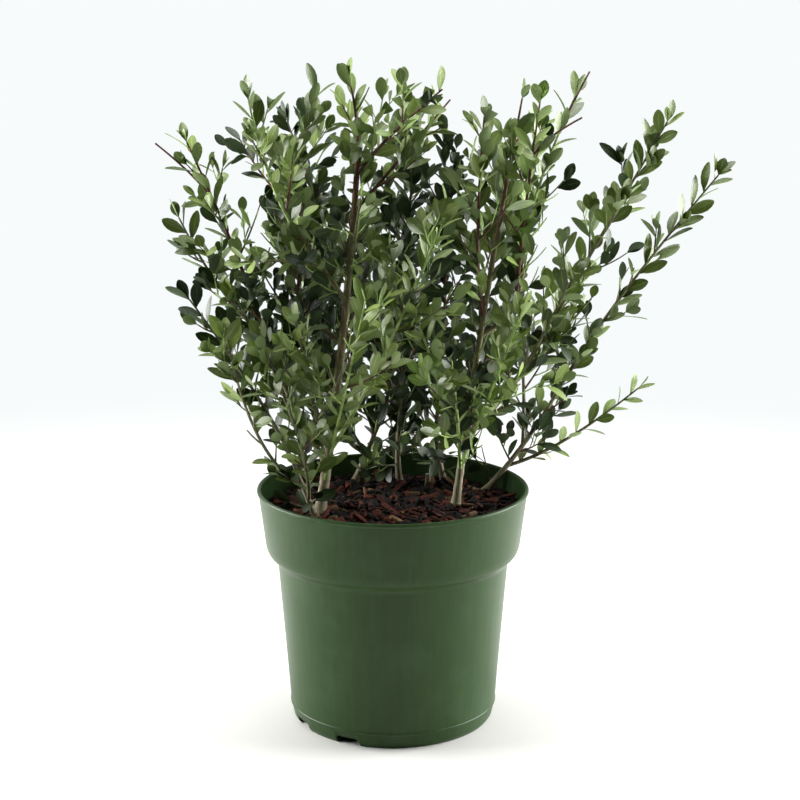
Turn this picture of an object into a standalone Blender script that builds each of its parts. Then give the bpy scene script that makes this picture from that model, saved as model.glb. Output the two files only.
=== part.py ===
"""Potted japanese holly: a bushy young shrub of several stems, in a green moulded nursery pot.

Lengths are metres and +Z is up. The origin is the middle of the pot's flat underside, -Y is the
side that the plant is usually seen from, and +X is on the right there.
"""

import math
import random

import bmesh
import bpy
from mathutils import Matrix, Vector
from mathutils.bvhtree import BVHTree

MM = 0.001
CLEAR = 0.3 * MM

# Pot: 8 inches across its rim and 7 inches tall, with a thin wall. Its wide band narrows over a
# shoulder to the body, and a fine raised line runs round above the foot.
POT_HEIGHT = 178 * MM
POT_SIDES = 32
WALL = 1.8 * MM
FLOOR = 2.2 * MM
RIM_RADIUS = 101.6 * MM
LIP_RADIUS = 1.6 * MM
BAND_TOP = (100.3 * MM, 174 * MM)
BAND_FOOT = (95.4 * MM, 134 * MM)
BAND_EDGE = (94 * MM, 130.5 * MM)
SHOULDER = (88.4 * MM, 125.5 * MM)
BODY_TOP = (86.6 * MM, 122 * MM)
BODY_FOOT = (77.8 * MM, 12.6 * MM)
RAISED_LINE = (78.3 * MM, 11.6 * MM)
FOOT_TOP = (77.4 * MM, 10.4 * MM)
FOOT_EDGE = (75.9 * MM, 2.6 * MM)
UNDERSIDE_RADIUS = 74.2 * MM

# Drain notches through the foot: angles round the pot from its front, towards +X.
NOTCH_ANGLES = (-26, -62, 154, 118)
NOTCH_WIDTH = 18 * MM
NOTCH_HEIGHT = 6 * MM
NOTCH_DEPTH = 12 * MM
NOTCH_ROUNDING = 3 * MM

# Potting mix: its surface lies this far below the rim.
MIX_TOP = POT_HEIGHT - 16 * MM

# Woody limbs: every stem flares at its foot, and every limb tapers to its tip.
LIMB_STEP = 36 * MM
FLARE = 0.7
FLARE_LENGTH = 5 * MM
FOOT_RISE = 2 * MM
FOOT_STEP = 6 * MM

# Shoots of the foliage: a leading shoot, and the twigs that leave it a golden angle apart, each
# shorter than the one below it.
SHOOT_SIDES = 3
GOLDEN_ANGLE = math.radians(137.5)
LEADER_RADII = (1.5 * MM, 0.8 * MM)
LEADER_STEP = 42 * MM
LEADER_START = 3 * MM
LEADER_BEND = 0.35
LEADER_RISE = 0.8
LEADER_SPREAD = 0.6
TWIG_RADII = (1.1 * MM, 0.7 * MM)
TWIG_STEP = 36 * MM
TWIG_SPACING = 39 * MM
TWIG_LEAN = math.radians(48)
TWIG_LIFT = 0.5
TWIG_SHARE = 0.55
TWIG_SHORTEST = 18 * MM
TWIG_LONGEST = 62 * MM
SHADE_HEIGHT = 250 * MM
SHADED_TWIG = 0.35

# Leaves stand singly round a shoot, a golden angle apart too, and none reaches further than this
# from its leading shoot. They are fewer than on the plant, and larger to make up for it. The
# corners are shares of the length and of the width.
REACH = 62 * MM
LEAF_LENGTH = 27 * MM
LEAF_WIDTH = 14 * MM
LEAF_THICKNESS = 1.3 * MM
LEAF_LOWER_CORNERS = (0.32, 0.42)
LEAF_UPPER_CORNERS = (0.7, 0.5)
LEAF_SPACING = 24.5 * MM
LEAF_LEAN = math.radians(50)
LEAF_ROLL = math.radians(65)
LEAF_LIFT = 0.4
LEAF_ROOT = 0.2 * MM
END_LEAF_ROOT = 1 * MM
END_LEAF_LEAN = math.radians(11)

# Stems: foot on the mix (x, y), tip, how far the middle bows off the straight line, and the
# radius at the foot and at the tip, all in millimetres.
STEMS = (
    ("left_trunk", (-54, -15), (-25, 8, 425), (3, -1, 0), 3.7, 1.4),
    ("right_trunk", (47, 1), (83, 8, 405), (-2, -4, 0), 3.4, 1.4),
    ("far_right_stem", (71, 43), (126, 47, 240), (2, 0, -2), 2.3, 1.4),
    ("low_left_stem", (-57, -28), (-70, -36, 200), (0, 0, 0), 2.2, 1.5),
    ("centre_stem", (5, 69), (4, 62, 204), (-1, 0, 0), 2.5, 1.6),
    ("rear_right_stem", (40, 72), (35, 64, 226), (-3, 0, 0), 2.3, 1.5),
    ("rear_left_stem", (-30, 76), (-10, 68, 212), (0, 2, 0), 2.0, 1.5),
)

# Boughs: the limb and the height that each leaves it at, then tip, bow and radii as above.
BOUGHS = (
    ("left_bough", "left_trunk", 198, (-99, 8, 305), (-4, 1, -2), 2.2, 1.5),
    ("middle_left_bough", "left_trunk", 318, (-70, -26, 376), (0, -1, 0), 1.8, 1.4),
    ("upper_left_bough", "left_trunk", 288, (-77, 20, 350), (-9, 5, -6), 1.8, 1.4),
    ("right_bough", "right_trunk", 216, (110, -29, 300), (2, 0, -4), 2.3, 1.5),
    ("right_inner_bough", "right_trunk", 292, (97, 20, 348), (7, 2, -9), 1.8, 1.4),
    ("rear_left_bough", "rear_left_stem", 184, (-58, 104, 274), (-6, 4, -6), 1.7, 1.4),
    ("rear_bough", "centre_stem", 180, (12, 112, 280), (0, 6, -8), 1.7, 1.4),
    ("rear_right_bough", "rear_right_stem", 184, (86, 110, 280), (4, 4, -8), 1.7, 1.4),
)

# Masses of shoots and leaves: the limb, the height on it that the leading shoot grows from (0 for
# its tip), the leading shoot's end, and the share of their full length that its twigs have.
MASSES = (
    ("top_shoots", "left_trunk", 0, (-31, 14, 478), 1),
    ("top_right_shoots", "left_trunk", 410, (35, -22, 472), 1),
    ("top_rear_shoots", "left_trunk", 382, (42, 28, 462), 1),
    ("middle_front_shoots", "left_trunk", 322, (-22, -62, 400), 1),
    ("trunk_front_shoots", "left_trunk", 194, (-66, -96, 322), 1),
    ("trunk_rear_shoots", "left_trunk", 222, (-44, 64, 384), 1),
    ("front_shoots", "left_trunk", 206, (40, -78, 398), 1),
    ("front_middle_shoots", "left_trunk", 184, (-18, -108, 336), 1),
    ("outer_left_shoots", "low_left_stem", 0, (-143, -50, 328), 0.7),
    ("low_left_shoots", "low_left_stem", 186, (-116, -60, 302), 0.5),
    ("front_left_shoots", "low_left_stem", 176, (-92, -76, 306), 0.8),
    ("left_crown_shoots", "left_bough", 0, (-150, 20, 432), 0.6),
    ("far_left_shoots", "left_bough", 292, (-156, 10, 378), 0.6),
    ("left_inner_shoots", "left_bough", 262, (-84, 48, 404), 1),
    ("left_rear_shoots", "left_bough", 232, (-128, 68, 324), 1),
    ("upper_left_shoots", "middle_left_bough", 0, (-99, -46, 466), 1),
    ("left_middle_shoots", "middle_left_bough", 346, (-104, -78, 358), 1),
    ("upper_inner_shoots", "upper_left_bough", 0, (-55, 27, 470), 1),
    ("upper_rear_shoots", "upper_left_bough", 322, (-68, 84, 448), 1),
    ("right_top_shoots", "right_trunk", 0, (93, 8, 464), 1),
    ("right_front_shoots", "right_trunk", 198, (90, -84, 328), 1),
    ("right_middle_shoots", "right_trunk", 306, (64, -34, 454), 0.7),
    ("right_rear_shoots", "right_trunk", 316, (86, 70, 418), 1),
    ("front_right_shoots", "right_trunk", 212, (8, -54, 342), 1),
    ("front_low_shoots", "right_trunk", 190, (40, -102, 296), 1),
    ("right_outer_shoots", "right_bough", 0, (188, -58, 452), 0.7),
    ("right_low_shoots", "right_bough", 258, (144, -12, 322), 0.5),
    ("right_bough_shoots", "right_bough", 284, (124, -92, 352), 0.8),
    ("upper_right_shoots", "right_inner_bough", 0, (133, 14, 468), 0.4),
    ("right_inner_shoots", "right_inner_bough", 334, (108, 46, 440), 0.5),
    ("right_crown_shoots", "right_inner_bough", 318, (104, -18, 464), 0.6),
    ("far_right_shoots", "far_right_stem", 0, (240, 30, 407), 0.35),
    ("low_right_shoots", "far_right_stem", 182, (188, 46, 243), 0.5),
    ("rear_low_shoots", "far_right_stem", 198, (96, 118, 326), 0.8),
    ("centre_shoots", "centre_stem", 0, (15, 42, 438), 1),
    ("rear_shoots", "rear_bough", 0, (6, 150, 420), 1),
    ("rear_middle_shoots", "rear_bough", 236, (-32, 146, 346), 1),
    ("inner_shoots", "rear_right_stem", 0, (38, 40, 438), 0.9),
    ("rear_right_shoots", "rear_right_bough", 0, (90, 146, 404), 1),
    ("inner_left_shoots", "rear_left_stem", 0, (-16, 88, 362), 1),
    ("rear_left_shoots", "rear_left_bough", 0, (-88, 134, 402), 1),
    ("rear_corner_shoots", "rear_left_stem", 200, (-96, 88, 304), 1),
)

# A cut-back stub beside the stems.
STUB_FOOT = (27 * MM, 57 * MM)
STUB_HEIGHT = 10 * MM
STUB_RADIUS = 2.2 * MM


def clear_scene():
    for item in list(bpy.data.objects):
        bpy.data.objects.remove(item)


def new_collection(name):
    collection = bpy.data.collections.new(name)
    bpy.context.scene.collection.children.link(collection)
    return collection


def material(name, colour, roughness, metallic=0.0):
    """A Principled material, from a linear colour."""
    made = bpy.data.materials.new(name)
    made.use_nodes = True
    shader = made.node_tree.nodes["Principled BSDF"]
    shader.inputs["Base Color"].default_value = (*colour, 1)
    shader.inputs["Roughness"].default_value = roughness
    shader.inputs["Metallic"].default_value = metallic
    return made


def place_mm(place):
    return Vector(place) * MM


def arc(start, handle, end, steps):
    """Points along the smooth arc from start to end that heads for the handle first."""
    shares = [step / steps for step in range(steps + 1)]
    return [start * (1 - t) ** 2 + handle * (2 * t * (1 - t)) + end * t**2 for t in shares]


def length_of(path):
    return sum((b - a).length for a, b in zip(path, path[1:]))


def tangents(path):
    ends = [path[0], *path, path[-1]]
    return [(after - before).normalized() for before, after in zip(ends, ends[2:])]


def nearest_on(path, place):
    """(distance, index of the nearer end) of the place from the path."""
    best = (math.inf, 0)
    for index, (a, b) in enumerate(zip(path, path[1:])):
        share = min(1, max(0, (place - a).dot(b - a) / (b - a).length_squared))
        best = min(best, ((place - a.lerp(b, share)).length, index + round(share)))
    return best


# Pot


def inside_of(place):
    """The point of the inner wall beside a point of the outer one."""
    return place[0] - WALL, place[1]


def pot_section():
    """The pot's section, from the middle of its floor up the inside, and down the outside."""
    inner = [(0, FLOOR), (UNDERSIDE_RADIUS, FLOOR)]
    inner += [inside_of(place) for place in (FOOT_TOP, BODY_TOP, BAND_EDGE, BAND_FOOT, BAND_TOP)]
    outer = [BAND_TOP, BAND_FOOT, BAND_EDGE, SHOULDER, BODY_TOP, BODY_FOOT, RAISED_LINE, FOOT_TOP]
    return [*inner, *lip(), *outer, FOOT_EDGE, (UNDERSIDE_RADIUS, 0), (0, 0)]


def lip():
    """The rolled lip: an arc over the top of the wall, from the inside to the outside."""
    middle = RIM_RADIUS - LIP_RADIUS
    turns = [math.radians(180 - 60 * step) for step in range(5)]
    return [
        (middle + LIP_RADIUS * math.cos(a), POT_HEIGHT - LIP_RADIUS + LIP_RADIUS * math.sin(a))
        for a in turns
    ]


def mix_section():
    """The mix's section, from the middle of its surface out, down beside the wall, and back in."""
    wall = [inside_of(place) for place in (BAND_FOOT, BAND_EDGE, BODY_TOP, FOOT_TOP)]
    share = (MIX_TOP - BAND_FOOT[1]) / (BAND_TOP[1] - BAND_FOOT[1])
    edge = BAND_FOOT[0] + share * (BAND_TOP[0] - BAND_FOOT[0]) - WALL
    side = [(edge, MIX_TOP), *wall, (UNDERSIDE_RADIUS - WALL, FLOOR + CLEAR)]
    return [(0, MIX_TOP), *((radius - 1.5 * CLEAR, height) for radius, height in side), (0, side[-1][1])]


def turned(name, section, look, parts):
    """A section of (radius, height) points, turned about the upright axis."""
    mesh = bpy.data.meshes.new(name)
    points = [(radius, 0, height) for radius, height in section]
    mesh.from_pydata(points, [(i, i + 1) for i in range(len(points) - 1)], [])
    mesh.materials.append(look)
    piece = bpy.data.objects.new(name, mesh)
    parts.objects.link(piece)
    screw = piece.modifiers.new("turn", "SCREW")
    screw.steps = screw.render_steps = POT_SIDES
    screw.use_merge_vertices = True
    screw.merge_threshold = 0.00001
    return piece


def notch_cutter(angle, cutters):
    """A block with two rounded upper edges, which opens a drain notch through the pot's foot."""
    bm = bmesh.new()
    bmesh.ops.create_cube(bm, size=1)
    bmesh.ops.scale(bm, vec=(NOTCH_WIDTH, NOTCH_DEPTH, 2 * NOTCH_HEIGHT), verts=bm.verts)
    upper = [vert for vert in bm.verts if vert.co.z > 0]
    ends = [e for e in bm.edges if set(e.verts) <= set(upper) and abs(e.verts[0].co.y - e.verts[1].co.y) > MM]
    bmesh.ops.bevel(
        bm, geom=ends, offset=NOTCH_ROUNDING, segments=2, profile=0.5, affect="EDGES", material=-1
    )
    bmesh.ops.translate(bm, vec=(0, -UNDERSIDE_RADIUS, 0), verts=bm.verts)
    bmesh.ops.rotate(bm, matrix=Matrix.Rotation(math.radians(angle), 3, "Z"), verts=bm.verts)
    cutter = mesh_object(f"notch_{angle}", bm, cutters)
    cutter.hide_render = True
    cutter.display_type = "WIRE"


def make_pot(look, parts):
    cutters = new_collection("notch_cutters")
    cutters.hide_render = True
    for angle in NOTCH_ANGLES:
        notch_cutter(angle, cutters)
    pot = turned("pot", pot_section(), look, parts)
    cut = pot.modifiers.new("drain_notches", "BOOLEAN")
    cut.operand_type = "COLLECTION"
    cut.collection = cutters
    cut.operation = "DIFFERENCE"


def make_mix(look, parts):
    """The potting mix, which fills the pot a hair clear of its wall."""
    turned("potting_mix", mix_section(), look, parts)


# Woody limbs


class Limb:
    """A tapering limb: its path, and its radius at each point of the path."""

    def __init__(self, path, radii):
        self.path = path
        self.radii = radii
        self.ways = tangents(path)

    def at_height(self, height):
        """(place, direction, radius) where the limb passes the height, or at its tip for 0."""
        if not height:
            return self.path[-1], (self.path[-1] - self.path[-2]).normalized(), self.radii[-1]
        for index, (a, b) in enumerate(zip(self.path, self.path[1:])):
            if a.z <= height <= b.z:
                share = (height - a.z) / (b.z - a.z)
                way = self.ways[index].lerp(self.ways[index + 1], share).normalized()
                radius = self.radii[index] * (1 - share) + self.radii[index + 1] * share
                return a.lerp(b, share), way, radius
        raise ValueError("the limb doesn't reach that height")

    def clear_of(self, path, radius):
        """The path without the part that starts inside this limb, so that its end lies CLEAR of it."""
        for index, way in enumerate(tangents(path)):
            distance, nearer = nearest_on(self.path, path[index])
            tilt = abs(way.dot(self.ways[nearer]))
            if distance >= self.radii[nearer] + CLEAR + radius * tilt:
                return path[index:]
        raise ValueError("the path never leaves the limb")


def thinned(path, step):
    """The path with its points about a step apart, and both of its ends kept."""
    count = max(2, round(length_of(path) / step))
    wanted = [index * length_of(path) / count for index in range(1, count)]
    kept = [path[0]]
    gone = 0
    for a, b in zip(path, path[1:]):
        while wanted and gone + (b - a).length >= wanted[0]:
            kept.append(a.lerp(b, (wanted.pop(0) - gone) / (b - a).length))
        gone += (b - a).length
    return [*kept, path[-1]]


def stem_limb(foot, tip, bow, foot_radius, tip_radius):
    """A stem that stands on the mix, with a flat foot that flares into it."""
    start = Vector((foot[0] * MM, foot[1] * MM, MIX_TOP + CLEAR))
    rise = Vector((0, 0, FOOT_RISE))
    end = place_mm(tip)
    handle = (start + end) / 2 + 2 * place_mm(bow)
    fine = arc(start + rise, handle, end, 60)
    path = [start, *thinned(fine[:4], FOOT_STEP), *thinned(fine[3:], LIMB_STEP)[1:]]
    total = length_of(path)
    radii = []
    for index in range(len(path)):
        gone = length_of(path[: index + 1])
        taper = foot_radius + (tip_radius - foot_radius) * gone / total
        radii.append(MM * taper * (1 + FLARE * math.exp(-gone / FLARE_LENGTH)))
    return Limb(path, radii)


def bough_limb(parent, height, tip, bow, start_radius, tip_radius):
    """A bough that starts beside its parent limb, a hair clear of the bark."""
    place, way, _ = parent.at_height(height * MM)
    end = place_mm(tip)
    handle = (place + end) / 2 + 2 * place_mm(bow)
    fine = parent.clear_of(arc(place, handle, end, 600), start_radius * MM)
    path = thinned(fine, LIMB_STEP)
    shares = [index / (len(path) - 1) for index in range(len(path))]
    return Limb(path, [MM * (start_radius * (1 - t) + tip_radius * t) for t in shares])


def limb_object(name, limb, look, parts):
    """The limb as a bevelled curve with flat ends."""
    curve = bpy.data.curves.new(name, "CURVE")
    curve.dimensions = "3D"
    curve.bevel_depth = 1
    curve.bevel_resolution = 1
    curve.use_fill_caps = True
    spline = curve.splines.new("POLY")
    spline.points.add(len(limb.path) - 1)
    for point, place, radius in zip(spline.points, limb.path, limb.radii):
        point.co = (*place, 1)
        point.radius = radius
    curve.materials.append(look)
    piece = bpy.data.objects.new(name, curve)
    parts.objects.link(piece)
    return piece


# Foliage


def shoot_mesh(path, radii, sides):
    """A tapering shoot with flat ends: a face extruded from point to point of its path."""
    bm = bmesh.new()
    ways = tangents(path)
    turn = ways[0].to_track_quat("Z", "X")
    frame = Matrix.LocRotScale(path[0], turn, Vector((radii[0],) * 3))
    bmesh.ops.create_circle(bm, cap_ends=True, segments=sides, radius=1, matrix=frame)
    end = bm.faces[:][0]
    for index in range(1, len(path)):
        turn = ways[index - 1].rotation_difference(ways[index]) @ turn
        moved = Matrix.LocRotScale(path[index], turn, Vector((radii[index],) * 3))
        grown = bmesh.ops.extrude_face_region(bm, geom=[end])["geom"]
        if index > 1:
            bmesh.ops.delete(bm, geom=[end], context="FACES_ONLY")
        end = next(item for item in grown if isinstance(item, bmesh.types.BMFace))
        bmesh.ops.transform(bm, matrix=moved @ frame.inverted(), verts=end.verts)
        frame = moved
    bmesh.ops.recalc_face_normals(bm, faces=bm.faces)
    return bm


def leaf_mesh(root, along, face, length, width, thickness):
    """A leaf: a low six-sided pyramid whose foot is the blade's outline, widest past its middle."""
    ridge = LEAF_LOWER_CORNERS[0] * length
    bm = bmesh.new()
    bmesh.ops.create_cone(bm, cap_ends=True, segments=6, radius1=1, radius2=0, depth=1)
    bmesh.ops.rotate(bm, matrix=Matrix.Rotation(math.pi / 2, 3, "Z"), verts=bm.verts)
    for vert in bm.verts:
        x, y, z = vert.co
        if z > 0:
            vert.co = (ridge, 0, thickness / 2)
        elif abs(y) < 0.1:
            vert.co = (length, 0, -thickness / 2) if x > 0 else (0, 0, 0)
        else:
            far, half = LEAF_UPPER_CORNERS if x > 0 else LEAF_LOWER_CORNERS
            vert.co = (far * length, math.copysign(half * width, y), -thickness / 2)
    side = face.cross(along)
    turn = Matrix((along, side, face)).transposed()
    bmesh.ops.transform(bm, matrix=Matrix.Translation(root) @ turn.to_4x4(), verts=bm.verts)
    return bm


class Space:
    """What has grown already. A shoot or leaf that would touch any of it is skipped."""

    def __init__(self):
        self.grown = []

    def add(self, key, bm):
        places = [vert.co for vert in bm.verts]
        middle = sum(places, Vector()) / len(places)
        radius = max((place - middle).length for place in places)
        self.grown.append((key, middle, radius, BVHTree.FromBMesh(bm)))

    def touched(self, bm, spared):
        places = [vert.co for vert in bm.verts]
        middle = sum(places, Vector()) / len(places)
        radius = max((place - middle).length for place in places)
        tree = BVHTree.FromBMesh(bm)
        for key, other, far, shape in self.grown:
            near = (other - middle).length < radius + far
            if near and key not in spared and tree.overlap(shape):
                return key
        return None


class Mass:
    """One mass of foliage: a leading shoot, the twigs on it and the leaves on them all."""

    def __init__(self, name, limb, height, tip, fullness):
        self.name = name
        self.fullness = fullness
        self.rng = random.Random(name)
        place, way, _ = limb.at_height(height * MM)
        end = place_mm(tip)
        if height:
            out = end - place
            out = (out - out.project(way)).normalized()
            heading = (way * LEADER_RISE + out * LEADER_SPREAD).normalized()
            start = place
        else:
            heading = way
            start = place + way * (CLEAR + LEADER_START)
        handle = start + heading * LEADER_BEND * (end - start).length
        fine = arc(start, handle, end, 600)
        if height:
            self.leader = thinned(limb.clear_of(fine, LEADER_RADII[0]), LEADER_STEP)
        else:
            self.leader = [place + way * CLEAR, *thinned(fine, LEADER_STEP)]
        self.shoots = {}
        self.leaves = []

    def grow_leader(self, space):
        shares = [index / (len(self.leader) - 1) for index in range(len(self.leader))]
        radii = [LEADER_RADII[0] * (1 - t) + LEADER_RADII[1] * t for t in shares]
        touched = space.touched(shoot_mesh(self.leader, radii, SHOOT_SIDES), ())
        if touched:
            raise ValueError(f"the leading shoot of {self.name} touches {touched}")
        wide = [radius + CLEAR / 2 for radius in radii]
        space.add(self.name, shoot_mesh(self.leader, wide, SHOOT_SIDES))
        self.shoots[self.name] = (self.leader, radii)

    def grow_twigs(self, space):
        """Twigs leave the leader a golden angle apart, shorter towards its end and in the low shade."""
        total = length_of(self.leader)
        turn = self.rng.uniform(0, math.tau)
        gone = TWIG_SPACING * self.rng.uniform(0.4, 0.8)
        while gone < total - TWIG_SHORTEST:
            place, way = along_path(self.leader, gone)
            long = self.fullness * min(TWIG_LONGEST, TWIG_SHARE * (total - gone) + TWIG_SHORTEST / 2)
            long *= min(1, max(SHADED_TWIG, (place.z - MIX_TOP) / (SHADE_HEIGHT - MIX_TOP)))
            heading = way * math.cos(TWIG_LEAN) + around(way, turn) * math.sin(TWIG_LEAN)
            rising = (heading + Vector((0, 0, TWIG_LIFT))).normalized()
            middle = place + heading * long / 2
            path = thinned(arc(place, middle, middle + rising * long / 2, 12), TWIG_STEP)
            self.keep_twig(space, f"{self.name} twig {len(self.shoots)}", path)
            turn += GOLDEN_ANGLE
            gone += TWIG_SPACING * self.rng.uniform(0.85, 1.15)

    def keep_twig(self, space, key, path):
        shares = [index / (len(path) - 1) for index in range(len(path))]
        radii = [TWIG_RADII[0] * (1 - t) + TWIG_RADII[1] * t for t in shares]
        wide = shoot_mesh(path, [radius + CLEAR for radius in radii], SHOOT_SIDES)
        if not space.touched(wide, (self.name,)):
            space.add(key, wide)
            self.shoots[key] = (path, radii)

    def grow_leaf(self, space, key, place, way, turn, lean):
        """A leaf rooted in the shoot, its upper face turned to the shoot's end and to the light."""
        out = around(way, turn)
        along = (way * math.cos(lean) + out * math.sin(lean)).normalized()
        face = way * math.sin(lean) - out * math.cos(lean) + Vector((0, 0, LEAF_LIFT))
        face = (face - face.project(along)).normalized()
        face = Matrix.Rotation(self.rng.uniform(-LEAF_ROLL, LEAF_ROLL), 3, along) @ face
        size = self.rng.uniform(0.88, 1.1)
        length, width = LEAF_LENGTH * size, LEAF_WIDTH * size
        root = place - along * LEAF_ROOT
        if nearest_on(self.leader, root + along * length)[0] > REACH:
            return
        wide = leaf_mesh(
            root, along, face, length + CLEAR, width + 2 * CLEAR, LEAF_THICKNESS + 2 * CLEAR
        )
        if not space.touched(wide, (key,)):
            space.add(f"{key} leaf {len(self.leaves)}", wide)
            self.leaves.append(leaf_mesh(root, along, face, length, width, LEAF_THICKNESS))

    def grow_end_leaf(self, space, key):
        """The youngest leaf, which carries the shoot's line on to its furthest reach."""
        path, _ = self.shoots[key]
        way = (path[-1] - path[-2]).normalized()
        root = path[-1] - way * END_LEAF_ROOT
        self.grow_leaf(space, key, root, way, self.rng.uniform(0, math.tau), END_LEAF_LEAN)

    def grow_leaves(self, space, key):
        path, _ = self.shoots[key]
        total = length_of(path)
        turn = self.rng.uniform(0, math.tau)
        gone = LEAF_SPACING * 0.7
        while gone < total - 0.3 * LEAF_SPACING:
            place, way = along_path(path, gone)
            self.grow_leaf(space, key, place, way, turn, LEAF_LEAN * self.rng.uniform(0.85, 1.15))
            turn += GOLDEN_ANGLE
            gone += LEAF_SPACING * self.rng.uniform(0.9, 1.1)

    def join(self, look, parts):
        """The leading shoot as an object, with its twigs and leaves fused on."""
        loose = new_collection(f"{self.name}_loose")
        shapes = [shoot_mesh(path, radii, SHOOT_SIDES) for path, radii in self.shoots.values()]
        leader = mesh_object(self.name, shapes[0], parts)
        leader.data.materials.append(look)
        for index, shape in enumerate(shapes[1:] + self.leaves):
            mesh_object(f"{self.name}_{index}", shape, loose)
        join = leader.modifiers.new("join", "BOOLEAN")
        join.operand_type = "COLLECTION"
        join.collection = loose
        join.operation = "UNION"
        graph = bpy.context.evaluated_depsgraph_get()
        joined = bpy.data.meshes.new_from_object(leader.evaluated_get(graph))
        leader.modifiers.clear()
        leader.data = joined
        joined.name = self.name
        for item in list(loose.objects):
            bpy.data.objects.remove(item)
        bpy.data.collections.remove(loose)
        keep_largest(joined)
        return leader


def around(way, turn):
    """The direction square to way, turned about it."""
    side = way.orthogonal().normalized()
    return side * math.cos(turn) + way.cross(side) * math.sin(turn)


def along_path(path, gone):
    """(place, direction) at a length along the path."""
    ways = tangents(path)
    for index, (a, b) in enumerate(zip(path, path[1:])):
        run = (b - a).length
        if gone <= run:
            share = gone / run
            return a.lerp(b, share), ways[index].lerp(ways[index + 1], share).normalized()
        gone -= run
    return path[-1], ways[-1]


def mesh_object(name, bm, collection):
    mesh = bpy.data.meshes.new(name)
    bm.to_mesh(mesh)
    bm.free()
    piece = bpy.data.objects.new(name, mesh)
    collection.objects.link(piece)
    return piece


def keep_largest(mesh):
    """Drops loose scraps and the walls of sealed hollows, so that one closed skin stays."""
    bm = bmesh.new()
    bm.from_mesh(mesh)
    left = set(bm.faces)
    shells = []
    while left:
        shell, edge = [], [left.pop()]
        while edge:
            face = edge.pop()
            shell.append(face)
            found = {other for link in face.edges for other in link.link_faces} & left
            left -= found
            edge.extend(found)
        shells.append(shell)
    shells.sort(key=len)
    scraps = [face for shell in shells[:-1] for face in shell]
    bmesh.ops.delete(bm, geom=scraps, context="FACES")
    bm.to_mesh(mesh)
    bm.free()


def main():
    clear_scene()
    parts = new_collection("potted_japanese_holly")
    green_plastic = material("green_plastic", (0.055, 0.145, 0.07), 0.42)
    bark_mix = material("bark_mix", (0.06, 0.03, 0.018), 0.95)
    bark = material("bark", (0.2, 0.14, 0.09), 0.8)
    holly_leaves = material("holly_leaves", (0.035, 0.09, 0.03), 0.35)

    make_pot(green_plastic, parts)
    make_mix(bark_mix, parts)

    limbs = {}
    for name, foot, tip, bow, foot_radius, tip_radius in STEMS:
        limbs[name] = stem_limb(foot, tip, bow, foot_radius, tip_radius)
    for name, parent, height, tip, bow, start_radius, tip_radius in BOUGHS:
        limbs[name] = bough_limb(limbs[parent], height, tip, bow, start_radius, tip_radius)
    foot = Vector((*STUB_FOOT, MIX_TOP + CLEAR))
    limbs["cut_stub"] = Limb([foot, foot + Vector((0, 0, STUB_HEIGHT))], [STUB_RADIUS] * 2)

    space = Space()
    for name, limb in limbs.items():
        limb_object(name, limb, bark, parts)
        space.add(name, shoot_mesh(limb.path, [radius + CLEAR / 2 for radius in limb.radii], 8))

    masses = [Mass(name, limbs[limb], *growth) for name, limb, *growth in MASSES]
    for mass in masses:
        mass.grow_leader(space)
    for mass in masses:
        mass.grow_end_leaf(space, mass.name)
    for mass in masses:
        mass.grow_twigs(space)
    for mass in masses:
        for key in mass.shoots:
            if key != mass.name:
                mass.grow_end_leaf(space, key)
    for mass in masses:
        for key in mass.shoots:
            mass.grow_leaves(space, key)
    for mass in masses:
        mass.join(holly_leaves, parts)


main()
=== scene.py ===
"""Looks of the potted japanese holly: a young evergreen shrub in a green moulded nursery pot.

Lengths are metres. The origin is the middle of the pot's underside, and -Y is the side seen first.
"""

import math
import random

import bmesh
import bpy
import numpy as np
from mathutils import Matrix, Vector, noise
from mathutils.kdtree import KDTree


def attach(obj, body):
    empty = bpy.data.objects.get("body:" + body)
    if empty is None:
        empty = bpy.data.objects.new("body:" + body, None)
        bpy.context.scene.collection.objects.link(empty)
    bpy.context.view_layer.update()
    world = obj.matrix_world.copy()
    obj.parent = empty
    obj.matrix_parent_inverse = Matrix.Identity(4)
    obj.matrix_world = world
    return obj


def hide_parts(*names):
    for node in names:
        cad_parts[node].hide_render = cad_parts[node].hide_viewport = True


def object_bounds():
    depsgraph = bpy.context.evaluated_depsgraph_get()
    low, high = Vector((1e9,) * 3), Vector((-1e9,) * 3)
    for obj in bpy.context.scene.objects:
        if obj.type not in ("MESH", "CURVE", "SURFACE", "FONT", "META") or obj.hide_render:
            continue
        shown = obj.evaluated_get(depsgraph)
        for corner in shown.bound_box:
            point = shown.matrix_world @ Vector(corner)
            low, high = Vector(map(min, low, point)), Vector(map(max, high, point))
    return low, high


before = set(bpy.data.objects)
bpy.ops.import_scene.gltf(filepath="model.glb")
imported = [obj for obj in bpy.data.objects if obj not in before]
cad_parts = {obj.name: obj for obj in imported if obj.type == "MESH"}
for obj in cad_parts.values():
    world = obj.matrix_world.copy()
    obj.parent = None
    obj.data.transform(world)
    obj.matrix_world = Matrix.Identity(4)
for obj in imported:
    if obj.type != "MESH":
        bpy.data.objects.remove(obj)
cad_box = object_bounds()
MM = 0.001


# Studio. The plant stands on a white seamless floor between two soft boxes, under a third. Less
# light comes from behind the camera, so that the pot's edges shine and its middle stays dark.

CAMERA_PLACE = (0.0053, -1.30, 0.538)
CAMERA_PITCH = math.radians(77.25)
CAMERA_LENS_MM = 81
CAMERA_SENSOR_MM = 36
FLOOR_RADIUS = 1.25
SHARP_EDGE = math.radians(32)
STUDIO_WHITE = "#f7fbfb"


def linear(hex_colour):
    """A hex colour of sRGB as linear red, green, blue and alpha."""
    channels = [int(hex_colour[at : at + 2], 16) / 255 for at in (1, 3, 5)]
    return [c / 12.92 if c <= 0.04045 else ((c + 0.055) / 1.055) ** 2.4 for c in channels] + [1]


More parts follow.
